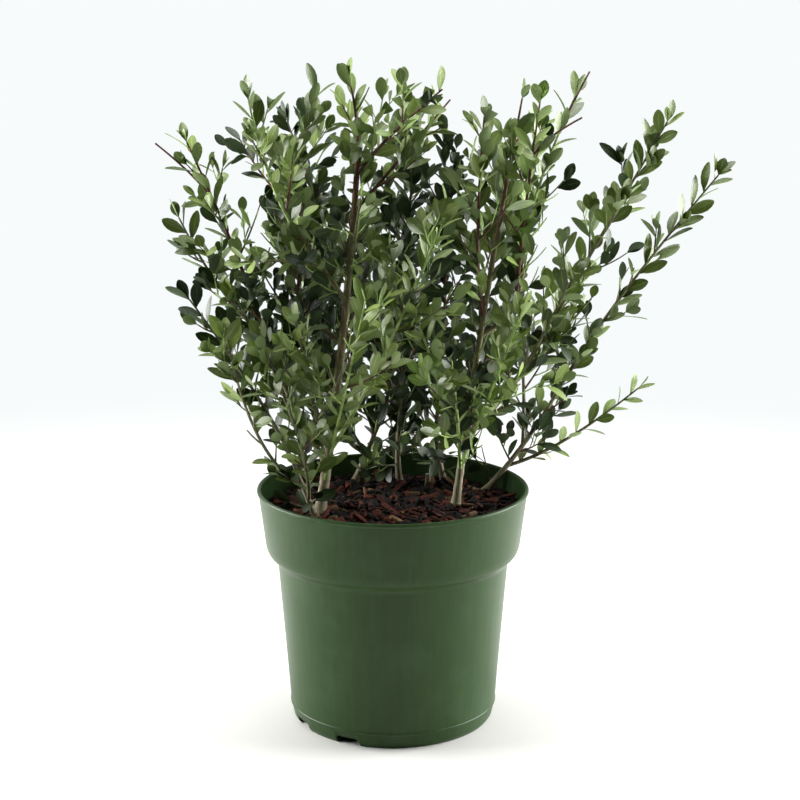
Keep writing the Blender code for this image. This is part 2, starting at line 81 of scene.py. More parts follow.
def add(tree, kind, settings=None, links=None):
    """A node of this kind, with its inputs or properties set and its inputs linked."""
    made = tree.nodes.new(kind)
    for key, value in (settings or {}).items():
        if isinstance(key, int) or key in made.inputs:
            made.inputs[key].default_value = value
        else:
            setattr(made, key, value)
    for key, source in (links or {}).items():
        tree.links.new(source, made.inputs[key])
    return made


def finish_of(name, roughness, ior=1.5, **more):
    """A new material with a Principled shader: (material, its node tree, the shader)."""
    made = bpy.data.materials.new(name)
    made.use_nodes = True
    shader = made.node_tree.nodes["Principled BSDF"]
    shader.inputs["Roughness"].default_value = roughness
    shader.inputs["IOR"].default_value = ior
    for key, value in more.items():
        shader.inputs[key.replace("_", " ")].default_value = value
    return made, made.node_tree, shader


def object_of(name, bm, *materials):
    """The shape as an object at the origin, with its normals smoothed except over sharp edges."""
    mesh = bpy.data.meshes.new(name)
    for edge in bm.edges:
        edge.smooth = edge.calc_face_angle(0) < SHARP_EDGE
    for face in bm.faces:
        face.smooth = True
    bm.to_mesh(mesh)
    bm.free()
    for material in materials:
        mesh.materials.append(material)
    made = bpy.data.objects.new(name, mesh)
    bpy.context.scene.collection.objects.link(made)
    return made


camera = bpy.data.objects.new("camera", bpy.data.cameras.new("camera"))
camera.data.lens = CAMERA_LENS_MM
camera.data.sensor_width = CAMERA_SENSOR_MM
camera.location = CAMERA_PLACE
camera.rotation_euler = (CAMERA_PITCH, 0, 0)
bpy.context.scene.collection.objects.link(camera)
bpy.context.scene.camera = camera
bpy.context.scene.view_settings.view_transform = "Standard"

surround = bpy.data.worlds.new("studio_surround")
bpy.context.scene.world = surround
surround.use_nodes = True
tree = surround.node_tree
axes = add(tree, "ShaderNodeSeparateXYZ", links={0: add(tree, "ShaderNodeTexCoord").outputs["Generated"]})
depth = add(
    tree, "ShaderNodeMapRange",
    {"From Min": -0.3, "From Max": 0.4, "To Min": 0.03, "To Max": 0.7, "interpolation_type": "SMOOTHSTEP"},
    {"Value": axes.outputs["Y"]},
)
seen = add(tree, "ShaderNodeLightPath").outputs["Is Camera Ray"]
strength = add(tree, "ShaderNodeMath", {"operation": "MAXIMUM"}, {0: depth.outputs["Result"], 1: seen})
tree.nodes["Background"].inputs["Color"].default_value = linear(STUDIO_WHITE)
tree.links.new(strength.outputs["Value"], tree.nodes["Background"].inputs["Strength"])

for name, place, target, size, watts in (
    ("left_soft_box", (-1.24, 0.2, 0.5), (0, 0, 0.25), (1.0, 0.9), 43),
    ("right_soft_box", (1.24, 0.2, 0.5), (0, 0, 0.25), (1.0, 0.9), 48),
    ("top_soft_box", (0.0, 0.3, 1.8), (0, 0, 0.2), (1.5, 1.1), 38),
):
    lamp = bpy.data.lights.new(name, "AREA")
    lamp.shape = "RECTANGLE"
    lamp.size, lamp.size_y = size
    lamp.energy = watts
    box = bpy.data.objects.new(name, lamp)
    box.location = place
    box.rotation_euler = (Vector(target) - Vector(place)).to_track_quat("-Z", "Y").to_euler()
    bpy.context.scene.collection.objects.link(box)

# Floor: smooth matt white paper near the plant, and a plain glow of the surround's own white from
# where the paper curves up out of sight.
paper, tree, shader = finish_of("white_paper", 0.8, 1.45)
shader.inputs["Base Color"].default_value = linear("#d5d4d0")
away = add(
    tree, "ShaderNodeVectorMath",
    {"operation": "LENGTH"}, {0: add(tree, "ShaderNodeTexCoord").outputs["Object"]},
)
risen = add(
    tree, "ShaderNodeMapRange",
    {"From Min": 0.3, "From Max": 1.2, "interpolation_type": "SMOOTHSTEP"},
    {"Value": away.outputs["Value"]},
)
glow = add(tree, "ShaderNodeEmission", {"Color": linear(STUDIO_WHITE)})
blend = add(
    tree, "ShaderNodeMixShader",
    links={0: risen.outputs["Result"], 1: shader.outputs["BSDF"], 2: glow.outputs["Emission"]},
)
tree.links.new(blend.outputs["Shader"], tree.nodes["Material Output"].inputs["Surface"])
bm = bmesh.new()
bmesh.ops.create_circle(bm, cap_ends=True, segments=96, radius=FLOOR_RADIUS)
object_of("studio_floor", bm, paper)


# Pot. An 8-inch nursery pot, injection moulded in green polypropylene with a thin satin wall: a
# rolled lip, a wide band that steps in to the body, a fine raised line, and notches to drain it.

POT_HEIGHT = 178 * MM
RIM_RADIUS = 101.6 * MM
LIP_RADIUS = 1.6 * MM
WALL = 1.8 * MM
POT_FLOOR = 2.2 * MM
FOOT_RADIUS = 74.2 * MM
POT_STEPS = 160
NOTCH_ANGLES = (-26, -62, 154, 118)
NOTCH_WIDTH = 18 * MM
NOTCH_HEIGHT = 6 * MM
NOTCH_DEPTH = 14 * MM
NOTCH_ROUNDING = 2.6 * MM
INSIDE_LOWEST = 11 * MM
INSIDE_HIGHEST = 173 * MM

# The outside, downwards from under the lip: radius, height and how widely the corner is rounded.
POT_CORNERS = (
    (100.4, 174.6, 0.8),
    (95.3, 134.2, 2.6),
    (93.6, 129.6, 2.2),
    (88.3, 125.2, 1.6),
    (86.7, 122.2, 1.4),
    (77.95, 12.9, 0.3),
    (78.45, 12.3, 0.25),
    (78.4, 11.2, 0.25),
    (77.6, 10.6, 0.3),
    (76.2, 2.8, 1.2),
)


def rounded(corners, steps=5):
    """The line through the corners, each given as x, y and its rounding, in millimetres."""
    line = [Vector(corners[0][:2]) * MM]
    for before, corner, after in zip(corners, corners[1:], corners[2:]):
        middle = Vector(corner[:2])
        arms = [(Vector(end[:2]) - middle).normalized() * corner[2] for end in (before, after)]
        start, end = (middle + arm for arm in arms)
        for step in range(steps + 1):
            t = step / steps
            line.append((start * (1 - t) ** 2 + middle * 2 * t * (1 - t) + end * t**2) * MM)
    return [*line, Vector(corners[-1][:2]) * MM]


def turned(line, steps):
    """A section of (radius, height) points turned about the upright axis."""
    bm = bmesh.new()
    points = [bm.verts.new((radius, 0, height)) for radius, height in line]
    edges = [bm.edges.new(pair) for pair in zip(points, points[1:])]
    bmesh.ops.spin(
        bm, geom=[*points, *edges], cent=(0, 0, 0), axis=(0, 0, 1), dvec=(0, 0, 0),
        angle=math.tau, steps=steps, use_merge=True, use_duplicate=False,
    )
    bmesh.ops.remove_doubles(bm, verts=bm.verts, dist=0.002 * MM)
    bmesh.ops.recalc_face_normals(bm, faces=bm.faces)
    return bm


outside = rounded([*POT_CORNERS, (74.2, 0, 0)])
lip = [
    (
        RIM_RADIUS - LIP_RADIUS * (1 - math.cos(math.radians(turn))),
        POT_HEIGHT - LIP_RADIUS * (1 - math.sin(math.radians(turn))),
    )
    for turn in range(200, -41, -15)
]
inside = [
    (radius - WALL, height)
    for radius, height in outside
    if INSIDE_LOWEST < height < INSIDE_HIGHEST
]
section = [(0, POT_FLOOR), (FOOT_RADIUS, POT_FLOOR), *reversed(inside), *lip, *outside, (0, 0)]
bm = turned(section, POT_STEPS)

cutter_bm = bmesh.new()
for angle in NOTCH_ANGLES:
    block = bmesh.ops.create_cube(cutter_bm, size=1)["verts"]
    bmesh.ops.scale(cutter_bm, vec=(NOTCH_WIDTH, NOTCH_DEPTH, 2 * NOTCH_HEIGHT), verts=block)
    upright = [
        edge
        for edge in {link for vert in block for link in vert.link_edges}
        if all(vert.co.z > 0 for vert in edge.verts) and edge.verts[0].co.x == edge.verts[1].co.x
    ]
    bmesh.ops.bevel(
        cutter_bm, geom=upright, offset=NOTCH_ROUNDING,
        segments=5, profile=0.5, affect="EDGES", material=-1,
    )
    block = [
        vert
        for vert in cutter_bm.verts
        if abs(vert.co.x) < NOTCH_WIDTH and abs(vert.co.y) < NOTCH_DEPTH
    ]
    bmesh.ops.translate(cutter_bm, vec=(0, -FOOT_RADIUS, 0), verts=block)
    bmesh.ops.rotate(cutter_bm, matrix=Matrix.Rotation(math.radians(angle), 3, "Z"), verts=block)

# Polypropylene: satin, with faint upright flow lines about 4 mm apart, an etch of half a millimetre
# from the mould, and soft clouds of dust about 45 mm wide.
plastic, tree, shader = finish_of("moulded_polypropylene", 0.36, 1.49, Specular_IOR_Level=0.17)
place = add(tree, "ShaderNodeTexCoord").outputs["Object"]
drawn_out = add(tree, "ShaderNodeMapping", {"Scale": (1, 1, 0.03)}, {"Vector": place})
flow = add(
    tree, "ShaderNodeTexNoise",
    {"Scale": 260, "Detail": 3, "Roughness": 0.55}, {"Vector": drawn_out.outputs[0]},
)
cloud = add(tree, "ShaderNodeTexNoise", {"Scale": 22, "Detail": 4, "Roughness": 0.6}, {"Vector": place})
tone = add(
    tree, "ShaderNodeMix",
    {"data_type": "RGBA", 6: linear("#25391c"), 7: linear("#304726")}, {0: flow.outputs["Fac"]},
)
dusty = add(
    tree, "ShaderNodeMapRange",
    {"From Min": 0.5, "From Max": 0.75, "To Max": 0.22}, {"Value": cloud.outputs["Fac"]},
)
dust = add(
    tree, "ShaderNodeMix",
    {"data_type": "RGBA", 7: linear("#4c6148")}, {0: dusty.outputs["Result"], 6: tone.outputs[2]},
)
tree.links.new(dust.outputs[2], shader.inputs["Base Color"])
etch = add(tree, "ShaderNodeTexNoise", {"Scale": 1900, "Detail": 2}, {"Vector": place})
sheen = add(tree, "ShaderNodeMapRange", {"To Min": 0.3, "To Max": 0.42}, {"Value": cloud.outputs["Fac"]})
tree.links.new(sheen.outputs["Result"], shader.inputs["Roughness"])
grain = add(
    tree, "ShaderNodeBump",
    {"Strength": 0.25, "Distance": 0.05 * MM}, {"Height": etch.outputs["Fac"]},
)
wave = add(
    tree, "ShaderNodeBump",
    {"Strength": 0.35, "Distance": 0.12 * MM},
    {"Height": flow.outputs["Fac"], "Normal": grain.outputs["Normal"]},
)
tree.links.new(wave.outputs["Normal"], shader.inputs["Normal"])

pot = object_of("moulded_pot", bm, plastic)
cutter = object_of("notch_cutter", cutter_bm)
cut = pot.modifiers.new("drain_notches", "BOOLEAN")
cut.object = cutter
cut.operation = "DIFFERENCE"
pot.data = bpy.data.meshes.new_from_object(pot.evaluated_get(bpy.context.evaluated_depsgraph_get()))
pot.modifiers.clear()
bpy.data.objects.remove(cutter)
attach(pot, "root")
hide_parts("pot")


# Potting mix. Composted bark, dark and moist, fills the pot to 16 mm under the rim, and loose
# chips of pine bark lie on it at all angles, some red-brown, some nearly black, a few bleached.
# The compost and chips are painted darker than their own colours, as painted shade under the crown.

MIX_TOP = POT_HEIGHT - 16 * MM
MIX_RADIUS = 96.4 * MM
MIX_BOTTOM = 148 * MM
MIX_RINGS = 60
MIX_STEPS = 200

# Chips: the length, width and thickness of each kind in millimetres, the colours, how many there are
# of each, how their sizes vary, and how they lie.
CHIP_COUNT = 820
CHIP_KINDS = ((15, 7.5, 1.7), (10, 6.5, 2.4), (23, 3.6, 1.5))
# These colours are painted darker than the bark's own, as painted shade under the crown.
CHIP_COLOURS = (
    ("red_bark_chip", "#26110b", "#54281b"),
    ("dark_bark_chip", "#0a0705", "#17100b"),
    ("bleached_bark_chip", "#40301f", "#7b6046"),
)
CHIP_SHARES = (0.34, 0.58, 0.08)
CHIP_KIND_SHARES = (0.35, 0.45, 0.2)
CHIP_SCALES = (0.45, 1.3)
CHIP_LIFTS = (0.2, 1.8)
CHIP_PITCH = 0.3
CHIP_ROLL = 0.35
CHIP_ROUNDING = 0.3
CHIP_TAPER = 0.45


def mix_height(x, y):
    """Height of the uneven surface of the mix at a place."""
    slow = noise.noise(Vector((x, y, 0.3)) * 28)
    quick = noise.noise(Vector((x, y, 1.7)) * 190)
    return MIX_TOP - 0.5 * MM + 2.2 * MM * slow + 1.1 * MM * quick


def scattered(name, blanks, placements, materials):
    """Copies of the blanks in one mesh: each placement is (blank, 4 by 4 matrix, tint)."""
    points, corners, starts, uvs, slots, tints = [], [], [], [], [], []
    reached, looped = 0, 0
    for index, blank in enumerate(blanks):
        chosen = [placement for placement in placements if placement[0] == index]
        if not chosen:
            continue
        matrices = np.array([placement[1] for placement in chosen])
        local = np.array([[*vert.co, 1] for vert in blank.verts])
        blank.verts.index_update()
        uv_layer = blank.loops.layers.uv.active
        loops = [loop for face in blank.faces for loop in face.loops]
        order = np.array([loop.vert.index for loop in loops])
        sizes = np.array([len(face.verts) for face in blank.faces])
        flat = np.array([loop[uv_layer].uv if uv_layer else (0, 0) for loop in loops])
        count = len(chosen)
        points.append(np.einsum("nij,vj->nvi", matrices, local)[:, :, :3].reshape(-1, 3))
        corners.append((order[None] + len(local) * np.arange(count)[:, None]).reshape(-1) + reached)
        first = np.concatenate([[0], np.cumsum(sizes)[:-1]])
        starts.append((first[None] + len(order) * np.arange(count)[:, None]).reshape(-1) + looped)
        uvs.append(np.tile(flat, (count, 1)))
        slots.append(np.tile([face.material_index for face in blank.faces], count))
        tints.append(np.repeat([placement[2] for placement in chosen], len(local)))
        reached += len(local) * count
        looped += len(order) * count
    mesh = bpy.data.meshes.new(name)
    mesh.vertices.add(reached)
    mesh.loops.add(looped)
    mesh.polygons.add(sum(len(part) for part in starts))
    mesh.vertices.foreach_set("co", np.concatenate(points).reshape(-1).astype(np.float32))
    mesh.loops.foreach_set("vertex_index", np.concatenate(corners).astype(np.int32))
    mesh.polygons.foreach_set("loop_start", np.concatenate(starts).astype(np.int32))
    mesh.polygons.foreach_set("material_index", np.concatenate(slots).astype(np.int32))
    mesh.update(calc_edges=True)
    blade = mesh.uv_layers.new(name="blade")
    blade.uv.foreach_set("vector", np.concatenate(uvs).reshape(-1).astype(np.float32))
    tint = mesh.attributes.new("tint", "FLOAT", "POINT")
    tint.data.foreach_set("value", np.concatenate(tints).astype(np.float32))
    for material in materials:
        mesh.materials.append(material)
    made = bpy.data.objects.new(name, mesh)
    bpy.context.scene.collection.objects.link(made)
    return made


section = [(0, MIX_TOP)]
section += [(MIX_RADIUS * step / MIX_RINGS, MIX_TOP) for step in range(1, MIX_RINGS + 1)]
section += [(MIX_RADIUS - 2 * MM, MIX_BOTTOM), (0, MIX_BOTTOM)]
bm = turned(section, MIX_STEPS)
for vert in bm.verts:
    if vert.co.z > MIX_BOTTOM + MM:
        vert.co.z = mix_height(vert.co.x, vert.co.y)

# Composted bark: dark, moist and dull, in crumbs of about 2 mm, and painted darker still as painted
# shade under the crown.
compost, tree, shader = finish_of("moist_bark_compost", 0.9, 1.4, Specular_IOR_Level=0.2)
place = add(tree, "ShaderNodeTexCoord").outputs["Object"]
crumb = add(tree, "ShaderNodeTexNoise", {"Scale": 420, "Detail": 5, "Roughness": 0.7}, {"Vector": place})
tone = add(
    tree, "ShaderNodeMix",
    {"data_type": "RGBA", 6: linear("#0e0806"), 7: linear("#271812")}, {0: crumb.outputs["Fac"]},
)
tree.links.new(tone.outputs[2], shader.inputs["Base Color"])
rough = add(
    tree, "ShaderNodeBump",
    {"Strength": 0.9, "Distance": 0.8 * MM}, {"Height": crumb.outputs["Fac"]},
)
tree.links.new(rough.outputs["Normal"], shader.inputs["Normal"])
mix = object_of("bark_compost", bm, compost)
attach(mix, "root")
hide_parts("potting_mix")

rng = random.Random("bark chips")
chip_blanks = []
for long, wide, thick in CHIP_KINDS:
    blank = bmesh.new()
    bmesh.ops.create_cube(blank, size=1)
    bmesh.ops.scale(blank, vec=(long * MM, wide * MM, thick * MM), verts=blank.verts)
    bmesh.ops.bevel(
        blank, geom=blank.edges[:], offset=CHIP_ROUNDING * thick * MM,
        segments=1, profile=0.5, affect="EDGES", material=-1,
    )
    for vert in blank.verts:
        taper = 1 - CHIP_TAPER * abs(vert.co.x) / (long * MM / 2) * rng.uniform(0.5, 1.4)
        vert.co.y *= max(0.2, taper)
        vert.co.z += 0.5 * MM * noise.noise(vert.co * 330)
    chip_blanks.append(blank)

placements = [[] for _ in CHIP_COLOURS]
for _ in range(CHIP_COUNT):
    kind = rng.choices(range(len(CHIP_KINDS)), CHIP_KIND_SHARES)[0]
    scale = rng.uniform(*CHIP_SCALES)
    reach = CHIP_KINDS[kind][0] * MM * scale / 2
    away = (MIX_RADIUS - reach) * math.sqrt(rng.random())
    turn = rng.uniform(0, math.tau)
    x, y = away * math.cos(turn), away * math.sin(turn)
    turned_by = Matrix.Rotation(rng.uniform(0, math.tau), 4, "Z")
    turned_by = turned_by @ Matrix.Rotation(rng.gauss(0, CHIP_PITCH), 4, "Y")
    turned_by = turned_by @ Matrix.Rotation(rng.gauss(0, CHIP_ROLL), 4, "X")
    spot = Matrix.Translation((x, y, mix_height(x, y) + rng.uniform(*CHIP_LIFTS) * MM))
    colour = rng.choices(range(len(CHIP_COLOURS)), CHIP_SHARES)[0]
    placements[colour].append((kind, spot @ turned_by @ Matrix.Scale(scale, 4), rng.random()))

# Bark chips: dull and dry, with fibres of about 1.5 mm, and each chip paler or darker than the next.
# Their colours are painted darker than the bark's own, as painted shade under the crown.
for (name, dark, pale), chosen in zip(CHIP_COLOURS, placements):
    bark_chip, tree, shader = finish_of(name, 0.82, 1.45, Specular_IOR_Level=0.2)
    place = add(tree, "ShaderNodeTexCoord").outputs["Object"]
    fibre = add(
        tree, "ShaderNodeTexNoise",
        {"Scale": 700, "Detail": 4, "Roughness": 0.7}, {"Vector": place},
    )
    own = add(tree, "ShaderNodeAttribute", {"attribute_name": "tint"})
    both = add(
        tree, "ShaderNodeMath",
        {"operation": "MULTIPLY"}, {0: fibre.outputs["Fac"], 1: own.outputs["Fac"]},
    )
    spread = add(tree, "ShaderNodeMapRange", {"From Max": 0.55}, {"Value": both.outputs["Value"]})
    tone = add(
        tree, "ShaderNodeMix",
        {"data_type": "RGBA", 6: linear(dark), 7: linear(pale)}, {0: spread.outputs["Result"]},
    )
    tree.links.new(tone.outputs[2], shader.inputs["Base Color"])
    rough = add(
        tree, "ShaderNodeBump",
        {"Strength": 0.6, "Distance": 0.3 * MM}, {"Height": fibre.outputs["Fac"]},
    )
    tree.links.new(rough.outputs["Normal"], shader.inputs["Normal"])
    chips = scattered(name + "s", chip_blanks, chosen, [bark_chip])
    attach(chips, "root")


# Stems and boughs. Several woody stems stand in the mix, each with a flared foot, and the boughs
# leave them in forks. The wood has small swellings where leaves once stood, and one stem was cut
# back to a stub.

# Each stem: its foot on the mix, its tip and how far it bows, in millimetres, and the radii at its ends.
STEMS = (
    ("left_trunk", (-54, -15), (-25, 8, 425), (3, -1, 0), 3.9, 1.9),
    ("right_trunk", (47, 1), (83, 8, 405), (-2, -4, 0), 3.0, 1.4),
    ("far_right_stem", (71, 43), (126, 47, 240), (2, 0, -2), 2.3, 1.4),
    ("low_left_stem", (-57, -28), (-70, -36, 200), (0, 0, 0), 2.2, 1.5),
    ("centre_stem", (5, 69), (4, 62, 204), (-1, 0, 0), 2.5, 1.6),
    ("rear_right_stem", (40, 72), (35, 64, 226), (-3, 0, 0), 2.3, 1.5),
    ("rear_left_stem", (-30, 76), (-10, 68, 212), (0, 2, 0), 2.0, 1.5),
)
# Each bough: its stem, the height where it forks off, and then its tip, bow and radii as a stem's.
BOUGHS = (
    ("left_bough", "left_trunk", 198, (-99, 8, 305), (-4, 1, -2), 2.2, 1.5),
    ("middle_left_bough", "left_trunk", 318, (-70, -26, 376), (0, -1, 0), 1.8, 1.4),
    ("upper_left_bough", "left_trunk", 288, (-77, 20, 350), (-9, 5, -6), 1.8, 1.4),
    ("right_bough", "right_trunk", 216, (110, -29, 300), (2, 0, -4), 2.3, 1.5),
    ("right_inner_bough", "right_trunk", 292, (97, 20, 348), (7, 2, -9), 1.8, 1.4),
    ("rear_left_bough", "rear_left_stem", 184, (-58, 104, 274), (-6, 4, -6), 1.7, 1.4),
    ("rear_bough", "centre_stem", 180, (12, 112, 280), (0, 6, -8), 1.7, 1.4),
    ("rear_right_bough", "rear_right_stem", 184, (86, 110, 280), (4, 4, -8), 1.7, 1.4),
)
STUB_FOOT = (27, 57)
STUB_HEIGHT = 10 * MM
STUB_RADIUS = 2.2
STEM_SINK = 6 * MM
FLARE = 0.7
FLARE_LENGTH = 5 * MM
BARK_STEP = 2 * MM
BARK_SIDES = 12
FORK_SWELL = 0.35
FORK_LENGTH = 4 * MM
NODE_SPACING = 13 * MM
NODE_LENGTH = 1.6 * MM
NODE_SWELL = 0.09
UNEVEN_SWELL = 0.05
RIDGE_HEIGHT = 0.14 * MM
ARC_STEPS = 60


def arc(start, handle, end, steps):
    """Points along the smooth arc from start to end that heads for the handle first."""
    shares = [step / steps for step in range(steps + 1)]
    return [start * (1 - t) ** 2 + handle * (2 * t * (1 - t)) + end * t**2 for t in shares]


def length_of(path):
    return sum((b - a).length for a, b in zip(path, path[1:]))


def tangents(path):
    ends = [path[0], *path, path[-1]]
    return [(after - before).normalized() for before, after in zip(ends, ends[2:])]


def spaced(path, step):
    """The path with its points about a step apart, and both of its ends kept."""
    total = length_of(path)
    count = max(2, round(total / step))
    wanted = [index * total / count for index in range(1, count)]
    kept = [path[0]]
    gone = 0
    for a, b in zip(path, path[1:]):
        run = (b - a).length
        while wanted and gone + run >= wanted[0]:
            kept.append(a.lerp(b, (wanted.pop(0) - gone) / run))
        gone += run
    return [*kept, path[-1]]


def limbs_mesh(name, limbs, sides, *materials):
    """Tapering limbs, each a (path, radii) pair, as one mesh of closed tubes."""
    curve = bpy.data.curves.new(name, "CURVE")
    curve.dimensions = "3D"
    curve.bevel_depth = 1
    curve.bevel_resolution = (sides - 4) // 2
    curve.use_fill_caps = True
    for path, radii in limbs:
        spline = curve.splines.new("POLY")
        spline.points.add(len(path) - 1)
        for point, place, radius in zip(spline.points, path, radii):
            point.co = (*place, 1)
            point.radius = radius
    source = bpy.data.objects.new(name + "_lines", curve)
    bpy.context.scene.collection.objects.link(source)
    mesh = bpy.data.meshes.new_from_object(source.evaluated_get(bpy.context.evaluated_depsgraph_get()))
    bpy.data.objects.remove(source)
    bm = bmesh.new()
    bm.from_mesh(mesh)
    bpy.data.meshes.remove(mesh)
    bmesh.ops.remove_doubles(bm, verts=bm.verts, dist=0.001 * MM)
    bmesh.ops.recalc_face_normals(bm, faces=bm.faces)
    return object_of(name, bm, *materials)


def place_at_height(path, height):
    """(place, direction) where the path passes the height, or at its end for 0."""
    ways = tangents(path)
    if not height:
        return path[-1], ways[-1]
    for index, (a, b) in enumerate(zip(path, path[1:])):
        if a.z <= height <= b.z:
            return a.lerp(b, (height - a.z) / (b.z - a.z)), ways[index]


lines = {}
for name, foot, tip, bow, foot_radius, tip_radius in STEMS:
    start = Vector((foot[0] * MM, foot[1] * MM, MIX_TOP))
    end = Vector(tip) * MM
    handle = (start + end) / 2 + 2 * Vector(bow) * MM
    lines[name] = (arc(start, handle, end, ARC_STEPS), foot_radius, tip_radius)
for name, parent, height, tip, bow, start_radius, tip_radius in BOUGHS:
    start, _ = place_at_height(lines[parent][0], height * MM)
    end = Vector(tip) * MM
    handle = (start + end) / 2 + 2 * Vector(bow) * MM
    lines[name] = (arc(start, handle, end, ARC_STEPS), start_radius, tip_radius)

stem_names = [name for name, *_ in STEMS]
limbs = {"stems": [], "boughs": []}
for name, (line, first, last) in lines.items():
    is_stem = name in stem_names
    path = spaced(line, BARK_STEP)
    if is_stem:
        path = [path[0] - Vector((0, 0, STEM_SINK)), path[0] - Vector((0, 0, STEM_SINK / 2)), *path]
    total = length_of(path)
    radii = []
    gone = 0
    for index, place in enumerate(path):
        gone += (place - path[index - 1]).length if index else 0
        radius = first + (last - first) * gone / total
        if is_stem:
            radius *= 1 + FLARE * math.exp(-max(0, gone - STEM_SINK) / FLARE_LENGTH)
        else:
            radius *= 1 + FORK_SWELL * math.exp(-gone / FORK_LENGTH)
        node = math.exp(-(((gone % NODE_SPACING) - NODE_SPACING / 2) / NODE_LENGTH) ** 2)
        radii.append(MM * radius * (1 + NODE_SWELL * node + UNEVEN_SWELL * noise.noise(place * 160)))
    limbs["stems" if is_stem else "boughs"].append((path, radii))
foot = Vector((STUB_FOOT[0] * MM, STUB_FOOT[1] * MM, MIX_TOP))
stub = [foot + Vector((0, 0, above)) for above in (-STEM_SINK, 0, STUB_HEIGHT / 2, STUB_HEIGHT)]
limbs["stems"].append((stub, [STUB_RADIUS * MM * swell for swell in (1.3, 1.15, 1.0, 0.96)]))

# Bark: matt and thin, with upright fissures about 1 mm apart and pale breathing pores every 2 mm. It
# is grey-brown at the foot, filmed with algae in patches of 8 mm, olive and darker inside the crown,
# where the darkening is a painted shade, and red-brown above, and changes over the heights given in
# metres.
bark, tree, shader = finish_of("holly_bark", 0.78, 1.45)
place = add(tree, "ShaderNodeTexCoord").outputs["Object"]
drawn_out = add(tree, "ShaderNodeMapping", {"Scale": (1, 1, 0.22)}, {"Vector": place})
grain = add(
    tree, "ShaderNodeTexNoise",
    {"Scale": 900, "Detail": 5, "Roughness": 0.65}, {"Vector": drawn_out.outputs[0]},
)
patch = add(tree, "ShaderNodeTexNoise", {"Scale": 120, "Detail": 3}, {"Vector": place})
height = add(tree, "ShaderNodeSeparateXYZ", links={0: place})
old = add(
    tree, "ShaderNodeMix",
    {"data_type": "RGBA", 6: linear("#5d5344"), 7: linear("#a1977c")}, {0: grain.outputs["Fac"]},
)
algae = add(
    tree, "ShaderNodeMapRange",
    {"From Min": 0.45, "From Max": 0.7, "To Max": 0.5}, {"Value": patch.outputs["Fac"]},
)
tone = add(
    tree, "ShaderNodeMix",
    {"data_type": "RGBA", 7: linear("#7d8560")}, {0: algae.outputs["Result"], 6: old.outputs[2]},
)
# The first band is partly the wood's own olive and partly painted shade inside the crown; the red-brown
# above is the wood's own.
for low, high, dark, pale in ((0.2, 0.27, "#413c25", "#7e7a52"), (0.35, 0.42, "#3f261b", "#7a4f38")):
    risen = add(
        tree, "ShaderNodeMapRange",
        {"From Min": low, "From Max": high, "interpolation_type": "SMOOTHSTEP"},
        {"Value": height.outputs["Z"]},
    )
    above = add(
        tree, "ShaderNodeMix",
        {"data_type": "RGBA", 6: linear(dark), 7: linear(pale)}, {0: grain.outputs["Fac"]},
    )
    tone = add(
        tree, "ShaderNodeMix",
        {"data_type": "RGBA"}, {0: risen.outputs["Result"], 6: tone.outputs[2], 7: above.outputs[2]},
    )
pores = add(tree, "ShaderNodeTexVoronoi", {"Scale": 520, "Randomness": 1.0}, {"Vector": place})
pore = add(
    tree, "ShaderNodeMapRange",
    {"From Min": 0.12, "From Max": 0.2, "To Min": 0.6, "To Max": 0.0}, {"Value": pores.outputs["Distance"]},
)
speckled = add(
    tree, "ShaderNodeMix",
    {"data_type": "RGBA", 7: linear("#b5ab92")}, {0: pore.outputs["Result"], 6: tone.outputs[2]},
)
tree.links.new(speckled.outputs[2], shader.inputs["Base Color"])
relief = add(
    tree, "ShaderNodeBump",
    {"Strength": 0.8, "Distance": 0.25 * MM}, {"Height": grain.outputs["Fac"]},
)
tree.links.new(relief.outputs["Normal"], shader.inputs["Normal"])

for name, replaced in (
    ("stems", [*stem_names, "cut_stub"]),
    ("boughs", [name for name, *_ in BOUGHS]),
):
    piece = limbs_mesh("barked_" + name, limbs[name], BARK_SIDES, bark)
    for vert in piece.data.vertices:
        ridge = noise.noise(Vector((vert.co.x * 900, vert.co.y * 900, vert.co.z * 260)))
        vert.co += vert.normal * RIDGE_HEIGHT * ridge
    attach(piece, "root")
    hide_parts(*replaced)
